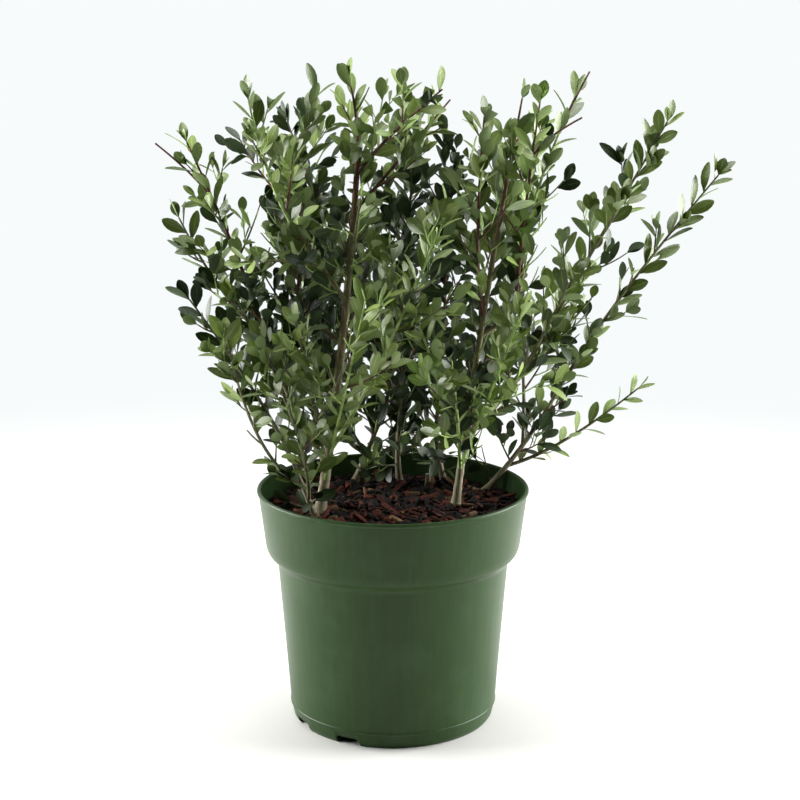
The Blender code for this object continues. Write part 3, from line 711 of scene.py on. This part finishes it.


# Foliage. Leading shoots grow on from the stems and boughs, twigs leave them a golden angle apart,
# and short sprigs leave the longer twigs. Glossy leaves stand singly on them all. Wood of the last
# year is red-brown, and this year's shoots are green. Each spray has leaves of one kind: mature and
# fresh leaves differ by age, dark leaves are painted shade and bright leaves are painted light.

# Each mass: the limb that its leading shoot leaves and the height there, or 0 at the limb's end, its
# tip in millimetres, how long its twigs are against a full one's, and how it grows.
MASSES = (
    ("top_shoots", "left_trunk", 0, (-31, 14, 478), 1, "crown"),
    ("top_right_shoots", "left_trunk", 410, (35, -22, 472), 1, "crown"),
    ("top_rear_shoots", "left_trunk", 382, (42, 28, 462), 1, "crown"),
    ("middle_front_shoots", "left_trunk", 322, (-22, -62, 400), 1, "front"),
    ("trunk_front_shoots", "left_trunk", 194, (-66, -96, 322), 1, "low"),
    ("trunk_rear_shoots", "left_trunk", 222, (-44, 64, 384), 1, "inner"),
    ("front_shoots", "left_trunk", 206, (40, -78, 398), 1, "young"),
    ("front_middle_shoots", "left_trunk", 184, (-18, -108, 336), 1, "young"),
    ("outer_left_shoots", "low_left_stem", 0, (-143, -50, 328), 0.7, "arch"),
    ("low_left_shoots", "low_left_stem", 186, (-116, -60, 302), 0.5, "arch"),
    ("front_left_shoots", "low_left_stem", 176, (-92, -76, 306), 0.8, "low"),
    ("left_crown_shoots", "left_bough", 0, (-150, 20, 432), 0.75, "crown"),
    ("far_left_shoots", "left_bough", 292, (-156, 10, 378), 0.6, "arch"),
    ("left_inner_shoots", "left_bough", 262, (-84, 48, 404), 1, "inner"),
    ("left_rear_shoots", "left_bough", 232, (-128, 68, 324), 1, "inner"),
    ("upper_left_shoots", "middle_left_bough", 0, (-99, -46, 466), 1, "crown"),
    ("left_middle_shoots", "middle_left_bough", 346, (-104, -78, 358), 1, "low"),
    ("upper_inner_shoots", "upper_left_bough", 0, (-55, 27, 470), 1, "crown"),
    ("upper_rear_shoots", "upper_left_bough", 322, (-68, 84, 448), 1, "inner"),
    ("right_top_shoots", "right_trunk", 0, (93, 8, 464), 1, "crown"),
    ("right_front_shoots", "right_trunk", 198, (90, -84, 328), 1, "front"),
    ("right_middle_shoots", "right_trunk", 306, (64, -34, 454), 0.7, "crown"),
    ("right_rear_shoots", "right_trunk", 316, (86, 70, 418), 1, "inner"),
    ("front_right_shoots", "right_trunk", 212, (8, -54, 342), 1, "young"),
    ("front_low_shoots", "right_trunk", 190, (40, -102, 296), 1, "front"),
    ("right_outer_shoots", "right_bough", 0, (188, -58, 452), 0.7, "arch"),
    ("right_low_shoots", "right_bough", 258, (144, -12, 322), 0.5, "arch"),
    ("right_bough_shoots", "right_bough", 284, (124, -92, 352), 0.8, "low"),
    ("upper_right_shoots", "right_inner_bough", 0, (133, 14, 468), 0.4, "crown"),
    ("right_inner_shoots", "right_inner_bough", 334, (108, 46, 440), 0.5, "crown"),
    ("right_crown_shoots", "right_inner_bough", 318, (104, -18, 464), 0.7, "crown"),
    ("far_right_shoots", "far_right_stem", 0, (240, 30, 407), 0.35, "arch"),
    ("low_right_shoots", "far_right_stem", 182, (188, 46, 243), 0.5, "slight"),
    ("rear_low_shoots", "far_right_stem", 198, (96, 118, 326), 0.8, "inner"),
    ("centre_shoots", "centre_stem", 0, (15, 42, 438), 1, "inner"),
    ("rear_shoots", "rear_bough", 0, (6, 150, 420), 1, "inner"),
    ("rear_middle_shoots", "rear_bough", 236, (-32, 146, 346), 1, "low"),
    ("inner_shoots", "rear_right_stem", 0, (38, 40, 438), 0.9, "inner"),
    ("rear_right_shoots", "rear_right_bough", 0, (90, 146, 404), 1, "low"),
    ("inner_left_shoots", "rear_left_stem", 0, (-16, 88, 362), 1, "inner"),
    ("rear_left_shoots", "rear_left_bough", 0, (-88, 134, 402), 1, "low"),
    ("rear_corner_shoots", "rear_left_stem", 200, (-96, 88, 304), 1, "inner"),
)

# How each kind of mass grows: how its sprays are dealt dark, mature, bright and fresh leaves, how
# its wood is dealt green, olive and brown, how long its leaves are in millimetres, how far apart
# they stand, and the share of their full width that its leading shoot's leaves have. In a ranked
# mass the leading shoot holds its leaves in two rows. Dark leaves are painted shade, dealt most to
# the inner masses, and bright leaves are painted light, dealt most to the crown and front.
GROWTH = {
    "crown": ((0.06, 0.42, 0.42, 0.1), (0.15, 0.35, 0.5), 20.5, 7, 1, False),
    "front": ((0.2, 0.4, 0.32, 0.08), (0.7, 0.3, 0.0), 19.5, 7, 1, False),
    "young": ((0.0, 0.0, 0.15, 0.85), (1, 0, 0), 21, 6, 0.78, True),
    "low": ((0.2, 0.5, 0.27, 0.03), (0.4, 0.5, 0.1), 18.5, 7, 1, False),
    "inner": ((0.75, 0.22, 0.03, 0.0), (0.1, 0.6, 0.3), 18.5, 6.4, 1, False),
    "arch": ((0.2, 0.58, 0.22, 0.0), (0.0, 1.0, 0.0), 21.5, 8.4, 1, True),
    "slight": ((0.3, 0.6, 0.1, 0.0), (0.0, 1.0, 0.0), 16.5, 7.6, 0.9, True),
}
GOLDEN_ANGLE = math.radians(137.5)
VARIATION = (0.8, 1.2)

# Leading shoots: the radii at their ends in millimetres, as on all the shoots below, how they bend,
# how steeply they leave the limb, and how many were cut back and so lack the tuft at the tip.
LEADER_RADII = (1.6, 0.65)
LEADER_BEND = 0.35
LEADER_RISE = 0.8
LEADER_SPREAD = 0.6
LEADER_BARE = 10 * MM
LEADERS_CUT = 0.2
SHOOT_STEP = 6 * MM
SHOOT_SIDES = 6
YOUNG_BARE = 0.4

# Twigs on the leading shoots, shorter near the tip and down in the shade, and sprigs on the twigs.
# Ranges are shares of the length or spacing above them.
TWIG_RADII = (0.85, 0.42)
TWIG_SPACING = 17 * MM
TWIG_FIRST = (0.5, 1.1)
TWIG_SCATTER = 0.15
TWIG_STEPS = 12
TWIG_LENGTHS = (0.7, 1.05)
TWIG_LEAN = math.radians(42)
TWIG_LIFT = 0.5
TWIG_SHARE = 0.55
TWIG_SHORTEST = 16 * MM
TWIG_LONGEST = 62 * MM
TWIG_STUNTED = 0.6
TWIG_BARE = 4 * MM
TWIGS_CUT = 0.12
SHADE_HEIGHT = 250 * MM
SHADE_LEAST = 0.35
SPRIG_RADII = (0.6, 0.35)
SPRIG_SPACING = 17 * MM
SPRIG_FIRST = 0.8
SPRIG_LAST = 0.6
SPRIG_LENGTH = 20 * MM
SPRIG_LENGTHS = (0.6, 1.1)
SPRIG_BARE = 3 * MM

# Spurs: the short twigs on the stems and boughs, longer where little else grows. The heights and
# lengths by name are in millimetres.
SPUR_SPACING = 7 * MM
SPUR_GAPS = (0.7, 1.3)
SPUR_LENGTH = 21 * MM
SPUR_LENGTHS = (0.6, 1.2)
LONG_SPURS = {
    "centre_stem": 40, "rear_right_stem": 36, "rear_left_stem": 36, "far_right_stem": 26,
    "rear_bough": 36, "rear_left_bough": 36, "rear_right_bough": 36,
}
LOW_SPURS = 188 * MM
LOW_SPUR_LEAN = math.radians(76)
SPUR_FEET = {"left_trunk": 205, "right_trunk": 200}
SPUR_LOWEST = 165
SPUR_FIRST = 8 * MM
SUNNY_SPURS = 330 * MM

# Leaves: their lean, size and spacing, the lean in degrees and share of the full length of the three
# that end a shoot, how often a tip is clipped, and how far they keep from wood, mix, rim and box.
LEAF_LEAN = math.radians(44)
LEAF_ROLL = math.radians(36)
LEAF_RISE = 0.12
LEAF_LENGTHS = (0.82, 1.12)
LEAF_WIDTHS = (0.9, 1.1)
LEAF_GAP = 3.6 * MM
LEAF_MIDDLE = 0.55
LEAF_OUTER = (0.5, 0.75, 1.0)
LEAF_SPAN = (0.2, 0.5, 0.9)
FULL_LEAF = 20 * MM
TIP_TUFT = ((8, 0.72), (24, 0.62), (30, 0.5))
TIP_CLEAR = 1.5 * MM
TURN_SCATTER = 0.2
TOWARDS_LIGHT = 0.45
TWIG_LEAVES = 0.95
SPRIG_LEAVES = 0.85
WHOLE_LEAVES = 5
CLIPPED_ABOVE = 425 * MM
CLIPPED_SHARE = 0.1
CLIPPED_SHARE_BELOW = 0.02
RANK_SPREAD = math.radians(28)
RANK_FACING = Vector((0, -0.8, 0.6))
WOOD_CLEAR = 0.6 * MM
MIX_CLEAR = 3 * MM
RIM_CLEAR = 2 * MM
RIM_INSIDE = 90 * MM
STAY_IN = 8 * MM
CROWN_AXIS = Vector((20 * MM, 20 * MM, 0))
CROWN_MIDDLE = 20 * MM

# Where the crown lets one look through it from the front, in millimetres: the two heights between
# which each trunk stays bared, and the gaps that show the white behind, each a line on the upright
# plane through the pot's middle, from low x and z to high x and z, with half its width.
BARED_TRUNKS = {"left_trunk": (250, 392), "right_trunk": (268, 402)}
BARED_HALF = 4.5 * MM
SKY_GAPS = (
    (100, 330, 121, 399, 5.8),
    (-95, 356, -101, 399, 5.1),
    (149, 310, 176, 381, 5.1),
    (-88, 199, -132, 251, 5.8),
    (94, 244, 109, 270, 5.8),
    (92, 455, 82, 477, 5.1),
    (45, 451, 38, 474, 4.3),
    (-12, 462, -16, 486, 4.3),
    (74, 198, 63, 223, 5.1),
)

# Bare dark twig ends: the share of its leading shoot where each leaves, and its end in millimetres.
SNAG_RADII = (0.9, 0.7)
SNAG_BEND = 0.3
SNAGS = {
    "left_crown_shoots": (0.62, (-173, 20, 431)),
    "upper_right_shoots": (0.76, (141, 8, 483)),
    "right_crown_shoots": (0.7, (134, -16, 452)),
}


def around(way, turn):
    """The direction square to way, turned about it."""
    side = way.orthogonal().normalized()
    return side * math.cos(turn) + way.cross(side) * math.sin(turn)


def along_path(path, gone):
    """(place, direction) at a length along the path."""
    for a, b in zip(path, path[1:]):
        run = (b - a).length
        if gone <= run:
            return a.lerp(b, gone / run), (b - a) / run
        gone -= run
    return path[-1], (path[-1] - path[-2]).normalized()


def side_path(place, way, turn, lean, long):
    """A twig that leaves sideways and turns up towards the light."""
    heading = way * math.cos(lean) + around(way, turn) * math.sin(lean)
    rising = (heading + Vector((0, 0, TWIG_LIFT))).normalized()
    middle = place + heading * long / 2
    return arc(place, middle, middle + rising * long / 2, TWIG_STEPS)


wood_points = [
    (place, radius)
    for group in limbs.values()
    for path, radii in group
    for place, radius in zip(path, radii)
]
wood_tree = KDTree(len(wood_points))
for index, (place, _) in enumerate(wood_points):
    wood_tree.insert(place, index)
wood_tree.balance()
taken = {}
shoots = {"green": [], "olive": [], "brown": []}
# Dark leaves stand for painted shade inside the crown and bright leaves for painted light on its outside;
# mature and fresh leaves differ by age.
leaves = {"dark": [], "mature": [], "bright": [], "fresh": []}
SHOOT_KINDS = tuple(shoots)
LEAF_KINDS = tuple(leaves)


def is_free(place):
    """Whether a leaf may reach this place: clear of the wood, the pot and the mix."""
    _, index, distance = wood_tree.find(place)
    if distance < wood_points[index][1] + WOOD_CLEAR or place.z < MIX_TOP + MIX_CLEAR:
        return False
    if place.z < POT_HEIGHT + RIM_CLEAR and math.hypot(place.x, place.y) > RIM_INSIDE:
        return False
    low, high = cad_box
    return all(low[i] - STAY_IN < place[i] < high[i] + STAY_IN for i in range(3))


def is_shed(place):
    """Whether a place seen from the front lies in a gap of the crown, or before a bared trunk."""
    eye = Vector(CAMERA_PLACE)
    seen = eye.lerp(place, eye.y / (eye.y - place.y))
    for low_x, low_z, high_x, high_z, half in SKY_GAPS:
        share = (seen.z / MM - low_z) / (high_z - low_z)
        if 0 < share < 1 and abs(seen.x / MM - low_x - share * (high_x - low_x)) < half:
            return True
    for name, (low, high) in BARED_TRUNKS.items():
        if low * MM < seen.z < high * MM:
            trunk, _ = place_at_height(lines[name][0], seen.z)
            if place.y < trunk.y and abs(seen.x - trunk.x) < BARED_HALF:
                return True
    return False


def claims(place, gap=LEAF_GAP):
    """Takes a place for the middle of a leaf, or says no where another leaf's middle is near."""
    cell = tuple(round(value / gap) for value in place)
    near = [
        (cell[0] + i, cell[1] + j, cell[2] + k)
        for i in (-1, 0, 1)
        for j in (-1, 0, 1)
        for k in (-1, 0, 1)
    ]
    if any((other - place).length < gap for spot in near for other in taken.get(spot, ())):
        return False
    taken.setdefault(cell, []).append(place)
    return True


def leaf_at(rng, place, way, out, facing, lean, length, breadth):
    """The (blank, matrix, tint) of a leaf, or None where it has no room."""
    along = (way * math.cos(lean) + out * math.sin(lean) + Vector((0, 0, LEAF_RISE))).normalized()
    face = way * math.sin(lean) - out * math.cos(lean) + facing
    face = (face - face.project(along)).normalized()
    face = Matrix.Rotation(rng.gauss(0, LEAF_ROLL), 3, along) @ face
    if not all(is_free(place + along * length * share) for share in LEAF_OUTER):
        return None
    if not claims(place + along * length * LEAF_MIDDLE):
        return None
    turn_to = Matrix((along, face.cross(along), face)).transposed().to_4x4()
    wide = rng.uniform(*LEAF_WIDTHS) + (FULL_LEAF - length) / FULL_LEAF
    size = Matrix.Diagonal((length, length * wide * breadth, length, 1))
    blank = rng.randrange(WHOLE_LEAVES)
    if rng.random() < (CLIPPED_SHARE if place.z > CLIPPED_ABOVE else CLIPPED_SHARE_BELOW):
        blank = WHOLE_LEAVES
    if any(is_shed(place + along * length * share) for share in LEAF_SPAN):
        return None
    return blank, Matrix.Translation(place) @ turn_to @ size, rng.random()


def leaf_out(rng, path, kind, first, longest, spacing=7, breadth=1, ranked=False, cut=False):
    """Leaves along a shoot from its first place on, smaller at its foot, and a tuft at its tip."""
    total = length_of(path)
    turn = rng.uniform(0, math.tau)
    side = 1
    gone = first
    found = []

    # Leaves stand steeper and closer together up the shoot, and the longest are past its middle.
    while gone < total - TIP_CLEAR:
        share = gone / total
        lean = LEAF_LEAN * (1.12 - 0.35 * share) * rng.uniform(*VARIATION)
        length = longest * rng.uniform(*LEAF_LENGTHS) * (0.8 + 0.55 * share - 0.38 * share**3)
        found.append((gone, lean, length))
        gone += spacing * MM * rng.uniform(*VARIATION) * (1.1 - 0.3 * share)
    if not cut:
        found += [(total, math.radians(lean), longest * share) for lean, share in TIP_TUFT]
    for gone, lean, length in found:
        place, way = along_path(path, gone)
        if ranked:
            side = -side
            out = way.cross(RANK_FACING).normalized() * side
            out = Matrix.Rotation(rng.gauss(0, RANK_SPREAD), 3, way) @ out
            facing = RANK_FACING
        else:
            turn += GOLDEN_ANGLE + rng.gauss(0, TURN_SCATTER)
            out = around(way, turn)
            outward = (place - CROWN_AXIS) * Vector((1, 1, 0))
            facing = Vector((0, 0, TOWARDS_LIGHT))
            if outward.length > CROWN_MIDDLE:
                facing += outward.normalized() * TOWARDS_LIGHT
        leaf = leaf_at(rng, place, way, out, facing, lean, length * MM, breadth)
        if leaf:
            leaves[kind].append(leaf)


def taper_along(path, ends):
    count = len(path) - 1
    return [MM * (ends[0] + (ends[1] - ends[0]) * index / count) for index in range(count + 1)]


def twig_out(rng, place, way, turn, long, growth, lean=TWIG_LEAN):
    """A twig with its leaves, and short sprigs where it is long enough, unless it has no room."""
    twig = spaced(side_path(place, way, turn, lean * rng.uniform(*VARIATION), long), SHOOT_STEP)
    if long < TWIG_STUNTED * TWIG_SHORTEST or not all(is_free(point) for point in twig[2:]):
        return
    shares, woods, longest, spacing, *_ = growth
    kind = rng.choices(LEAF_KINDS, shares)[0]
    shoots[rng.choices(SHOOT_KINDS, woods)[0]].append((twig, taper_along(twig, TWIG_RADII)))
    leaf_out(rng, twig, kind, TWIG_BARE, longest * TWIG_LEAVES, spacing, cut=rng.random() < TWIGS_CUT)
    sprig_turn = rng.uniform(0, math.tau)
    gone = SPRIG_SPACING * SPRIG_FIRST
    while gone < long - SPRIG_SPACING * SPRIG_LAST:
        place, way = along_path(twig, gone)
        sprig_long = SPRIG_LENGTH * rng.uniform(*SPRIG_LENGTHS)
        sprig = spaced(side_path(place, way, sprig_turn, TWIG_LEAN, sprig_long), SHOOT_STEP)
        sprig_turn += GOLDEN_ANGLE
        gone += SPRIG_SPACING * rng.uniform(*VARIATION)
        if all(is_free(point) for point in sprig[1:]):
            shoots["green"].append((sprig, taper_along(sprig, SPRIG_RADII)))
            leaf_out(rng, sprig, kind, SPRIG_BARE, longest * SPRIG_LEAVES)


for name, limb, height, tip, fullness, look in sorted(MASSES, key=lambda mass: mass[5] != "young"):
    rng = random.Random(name)
    growth = GROWTH[look]
    shares, woods, longest, spacing, breadth, ranked = growth
    start, way = place_at_height(lines[limb][0], height * MM)
    end = Vector(tip) * MM
    if height:
        out = end - start
        out = (out - out.project(way)).normalized()
        heading = (way * LEADER_RISE + out * LEADER_SPREAD).normalized()
    else:
        heading = way
    handle = start + heading * LEADER_BEND * (end - start).length
    leader = spaced(arc(start, handle, end, ARC_STEPS), SHOOT_STEP)
    total = length_of(leader)
    shoots[rng.choices(SHOOT_KINDS, woods)[0]].append((leader, taper_along(leader, LEADER_RADII)))
    if name in SNAGS:
        share, snag_end = SNAGS[name]
        place, way = along_path(leader, share * total)
        snag_end = Vector(snag_end) * MM
        handle = place + way * (snag_end - place).length * SNAG_BEND
        snag = spaced(arc(place, handle, snag_end, TWIG_STEPS), SHOOT_STEP)
        shoots["brown"].append((snag, taper_along(snag, SNAG_RADII)))
    kind = rng.choices(LEAF_KINDS, shares)[0]
    first = LEADER_BARE if height else TWIG_BARE
    leaf_out(rng, leader, kind, first, longest, spacing, breadth, ranked, rng.random() < LEADERS_CUT)
    turn = rng.uniform(0, math.tau)
    gone = TWIG_SPACING * rng.uniform(*TWIG_FIRST) + (YOUNG_BARE * total if look == "young" else 0)
    while gone < total - TWIG_SHORTEST:
        place, way = along_path(leader, gone)
        long = min(TWIG_LONGEST, TWIG_SHARE * (total - gone) + TWIG_SHORTEST / 2)
        long *= fullness * rng.uniform(*TWIG_LENGTHS)
        long *= min(1, max(SHADE_LEAST, (place.z - MIX_TOP) / (SHADE_HEIGHT - MIX_TOP)))
        twig_out(rng, place, way, turn, long, GROWTH["low"] if look == "young" else growth)
        turn += GOLDEN_ANGLE + rng.gauss(0, TWIG_SCATTER)
        gone += TWIG_SPACING * rng.uniform(*VARIATION)

# Short leafy spurs stand on the stems and boughs themselves, above the bare foot.
for name, (line, *_) in lines.items():
    rng = random.Random(name)
    total = length_of(line)
    turn = rng.uniform(0, math.tau)
    long = LONG_SPURS[name] * MM if name in LONG_SPURS else SPUR_LENGTH
    gone = SPUR_FIRST
    while gone < total:
        place, way = along_path(line, gone)
        turn += GOLDEN_ANGLE
        gone += SPUR_SPACING * rng.uniform(*SPUR_GAPS)
        if place.z > SPUR_FEET.get(name, SPUR_LOWEST) * MM:
            lean = LOW_SPUR_LEAN if place.z < LOW_SPURS else TWIG_LEAN
            # Spurs high up get the crown's leaves, with more painted light, and lower ones the inner
            # masses' dark leaves, a painted shade.
            growth = GROWTH["crown" if place.z > SUNNY_SPURS else "inner"]
            twig_out(rng, place, way, turn, long * rng.uniform(*SPUR_LENGTHS), growth, lean)

# Shoot bark: thin and smooth, in streaks about 2 mm apart. It is green on this year's growth, olive
# where that ripens, and red-brown with a duller skin on last year's.
mass_names = [name for name, *_ in MASSES]
for name, dark, pale, roughness in (
    ("green", "#718c46", "#a8bf74", 0.5),
    ("olive", "#3c3a26", "#6f6f49", 0.58),
    ("brown", "#2f1b15", "#6a4030", 0.62),
):
    skin, tree, shader = finish_of(name + "_shoot_skin", roughness, 1.45)
    place = add(tree, "ShaderNodeTexCoord").outputs["Object"]
    drawn_out = add(tree, "ShaderNodeMapping", {"Scale": (1, 1, 0.3)}, {"Vector": place})
    grain = add(tree, "ShaderNodeTexNoise", {"Scale": 480, "Detail": 4}, {"Vector": drawn_out.outputs[0]})
    spread = add(
        tree, "ShaderNodeMapRange",
        {"From Min": 0.3, "From Max": 0.7}, {"Value": grain.outputs["Fac"]},
    )
    tone = add(
        tree, "ShaderNodeMix",
        {"data_type": "RGBA", 6: linear(dark), 7: linear(pale)}, {0: spread.outputs["Result"]},
    )
    tree.links.new(tone.outputs[2], shader.inputs["Base Color"])
    relief = add(
        tree, "ShaderNodeBump",
        {"Strength": 0.4, "Distance": 0.1 * MM}, {"Height": grain.outputs["Fac"]},
    )
    tree.links.new(relief.outputs["Normal"], shader.inputs["Normal"])
    piece = limbs_mesh(name + "_shoots", shoots[name], SHOOT_SIDES, skin)
    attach(piece, "root")
    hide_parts(*mass_names)

# Leaves: blunt blades of 12 to 24 mm, widest past the middle, on a short stalk. Each is folded a little
# along its midrib and droops or twists a little, and its underside is paler and duller.
BLADE_STATIONS = 8
BLADE_WIDTH = 0.43
BLADE_THICKNESS = 0.014
STALK_SHARE = 0.08
STALK_WIDTH = 0.03
BLADE_BLUNTNESS = 0.6
BLADE_WIDEST = 1.15
BLADE_MERGE = 0.0004


def blade_half_width(share):
    """Half the blade's width at a share of its length, stalk included."""
    if share < STALK_SHARE:
        return STALK_WIDTH
    t = (share - STALK_SHARE) / (1 - STALK_SHARE)
    bulge = math.sin(math.pi * t**BLADE_WIDEST) ** BLADE_BLUNTNESS
    return max(STALK_WIDTH * (1 - t), BLADE_WIDTH / 2 * bulge)


def leaf_blank(fold, droop, twist, kept=1):
    """One closed blade, 1 long and clipped to the share kept: a shaped grid over a turned copy."""
    bm = bmesh.new()
    bmesh.ops.create_grid(bm, x_segments=BLADE_STATIONS, y_segments=2, size=0.5)
    uv_layer = bm.loops.layers.uv.new("blade")
    for face in bm.faces:
        for loop in face.loops:
            loop[uv_layer].uv = (loop.vert.co.x + 0.5, loop.vert.co.y + 0.5)
    for vert in bm.verts:
        share = kept * (1 - math.cos(math.pi * (vert.co.x + 0.5))) / 2
        y = vert.co.y * 2 * (blade_half_width(share) if 0.001 < share < 0.999 else 0)
        z = abs(y) * fold - droop * share**2
        turn = twist * share
        vert.co = (share, y * math.cos(turn) - z * math.sin(turn), y * math.sin(turn) + z * math.cos(turn))
    bmesh.ops.remove_doubles(bm, verts=bm.verts, dist=BLADE_MERGE)
    bmesh.ops.triangulate(bm, faces=bm.faces, quad_method="SHORT_EDGE")
    copied = bmesh.ops.duplicate(bm, geom=bm.faces[:])["geom"]
    under = [item for item in copied if isinstance(item, bmesh.types.BMFace)]
    for vert in {vert for face in under for vert in face.verts if not vert.is_boundary}:
        vert.co.z -= BLADE_THICKNESS
    bmesh.ops.reverse_faces(bm, faces=under)
    for face in under:
        face.material_index = 1
    bmesh.ops.remove_doubles(bm, verts=bm.verts, dist=BLADE_MERGE)
    bm.normal_update()
    return bm


# Five whole blades and a clipped one: how far each folds, droops and twists, and the share kept.
leaf_blanks = [
    leaf_blank(*values)
    for values in (
        (0.14, 0.06, 0.0),
        (0.22, -0.04, 0.15),
        (0.09, 0.14, -0.2),
        (0.26, 0.02, 0.3),
        (0.18, 0.20, -0.1),
        (0.2, 0.02, 0.1, 0.6),
    )
]

# Leaf skin: a thick smooth cuticle over green tissue, so it shines softly and pales at a slant.
# The midrib is a fine paler line and the side veins hardly show. The green is mottled every 4 mm, and
# one leaf is lighter than the next. The underside is pale and matt.
# The dark rows are a painted shade for leaves inside the crown, and the bright rows a painted light for
# leaves on its lit outside; mature and fresh are the leaves' ages.
for kind, deep, light, vein, under_deep, under_light, sheen in (
    ("dark", "#17240e", "#2a3c18", "#42552c", "#34432a", "#48583a", 0.3),
    ("mature", "#3d4f1e", "#61732f", "#7b8c48", "#62744a", "#7a8b5c", 0.5),
    ("bright", "#586d31", "#7c9145", "#98ab5f", "#6d814a", "#879a60", 0.5),
    ("fresh", "#6a8540", "#8fa95a", "#aec47a", "#788d52", "#92a76a", 0.5),
):
    upper, tree, shader = finish_of(
        kind + "_leaf_cuticle", 0.42, 1.45,
        Specular_IOR_Level=sheen, Coat_Weight=0.24 * sheen, Coat_Roughness=0.3,
    )
    blade = add(tree, "ShaderNodeUVMap", {"uv_map": "blade"})
    axes = add(tree, "ShaderNodeSeparateXYZ", links={0: blade.outputs["UV"]})
    centre = add(tree, "ShaderNodeMath", {"operation": "SUBTRACT", 1: 0.5}, {0: axes.outputs["Y"]})
    aside = add(tree, "ShaderNodeMath", {"operation": "ABSOLUTE"}, {0: centre.outputs[0]})
    rib = add(
        tree, "ShaderNodeMapRange",
        {"From Min": 0.015, "From Max": 0.06, "To Min": 0.8, "To Max": 0.0}, {"Value": aside.outputs[0]},
    )
    slant = add(
        tree, "ShaderNodeMath",
        {"operation": "MULTIPLY_ADD", 1: -0.7}, {0: aside.outputs[0], 2: axes.outputs["X"]},
    )
    waves = add(tree, "ShaderNodeMath", {"operation": "MULTIPLY", 1: 52.0}, {0: slant.outputs[0]})
    ripple = add(tree, "ShaderNodeMath", {"operation": "SINE"}, {0: waves.outputs[0]})
    veins = add(
        tree, "ShaderNodeMapRange",
        {"From Min": 0.7, "From Max": 1.0, "To Max": 0.12}, {"Value": ripple.outputs[0]},
    )
    marks = add(
        tree, "ShaderNodeMath",
        {"operation": "MAXIMUM"}, {0: rib.outputs["Result"], 1: veins.outputs["Result"]},
    )
    own = add(tree, "ShaderNodeAttribute", {"attribute_name": "tint"})
    place = add(tree, "ShaderNodeTexCoord").outputs["Object"]
    mottle = add(tree, "ShaderNodeTexNoise", {"Scale": 260, "Detail": 3}, {"Vector": place})
    blended = add(
        tree, "ShaderNodeMath",
        {"operation": "MULTIPLY_ADD", 1: 0.45}, {0: mottle.outputs["Fac"], 2: own.outputs["Fac"]},
    )
    spread = add(
        tree, "ShaderNodeMapRange",
        {"From Min": 0.15, "From Max": 1.3}, {"Value": blended.outputs[0]},
    )
    tissue = add(
        tree, "ShaderNodeMix",
        {"data_type": "RGBA", 6: linear(deep), 7: linear(light)}, {0: spread.outputs["Result"]},
    )
    veined = add(
        tree, "ShaderNodeMix",
        {"data_type": "RGBA", 7: linear(vein)}, {0: marks.outputs[0], 6: tissue.outputs[2]},
    )
    tree.links.new(veined.outputs[2], shader.inputs["Base Color"])
    relief = add(
        tree, "ShaderNodeBump",
        {"Strength": 0.3, "Distance": 0.5 * MM}, {"Height": mottle.outputs["Fac"]},
    )
    tree.links.new(relief.outputs["Normal"], shader.inputs["Normal"])

    under, tree, shader = finish_of(kind + "_leaf_underside", 0.6, 1.4, Specular_IOR_Level=0.3)
    own = add(tree, "ShaderNodeAttribute", {"attribute_name": "tint"})
    pale = add(
        tree, "ShaderNodeMix",
        {"data_type": "RGBA", 6: linear(under_deep), 7: linear(under_light)}, {0: own.outputs["Fac"]},
    )
    tree.links.new(pale.outputs[2], shader.inputs["Base Color"])

    piece = scattered(kind + "_leaves", leaf_blanks, leaves[kind], [upper, under])
    mesh = piece.data
    mesh.shade_smooth()

    # The edge between the two skins stays crisp.
    edge_of = np.empty(len(mesh.loops), np.int32)
    mesh.loops.foreach_get("edge_index", edge_of)
    slot_of = np.empty(len(mesh.polygons), np.int32)
    mesh.polygons.foreach_get("material_index", slot_of)
    sides = np.empty(len(mesh.polygons), np.int32)
    mesh.polygons.foreach_get("loop_total", sides)
    per_loop = np.repeat(slot_of, sides)
    lowest, highest = np.full(len(mesh.edges), 9), np.full(len(mesh.edges), -9)
    np.minimum.at(lowest, edge_of, per_loop)
    np.maximum.at(highest, edge_of, per_loop)
    mesh.attributes.new("sharp_edge", "BOOLEAN", "EDGE").data.foreach_set("value", lowest != highest)
    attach(piece, "root")
    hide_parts(*mass_names)
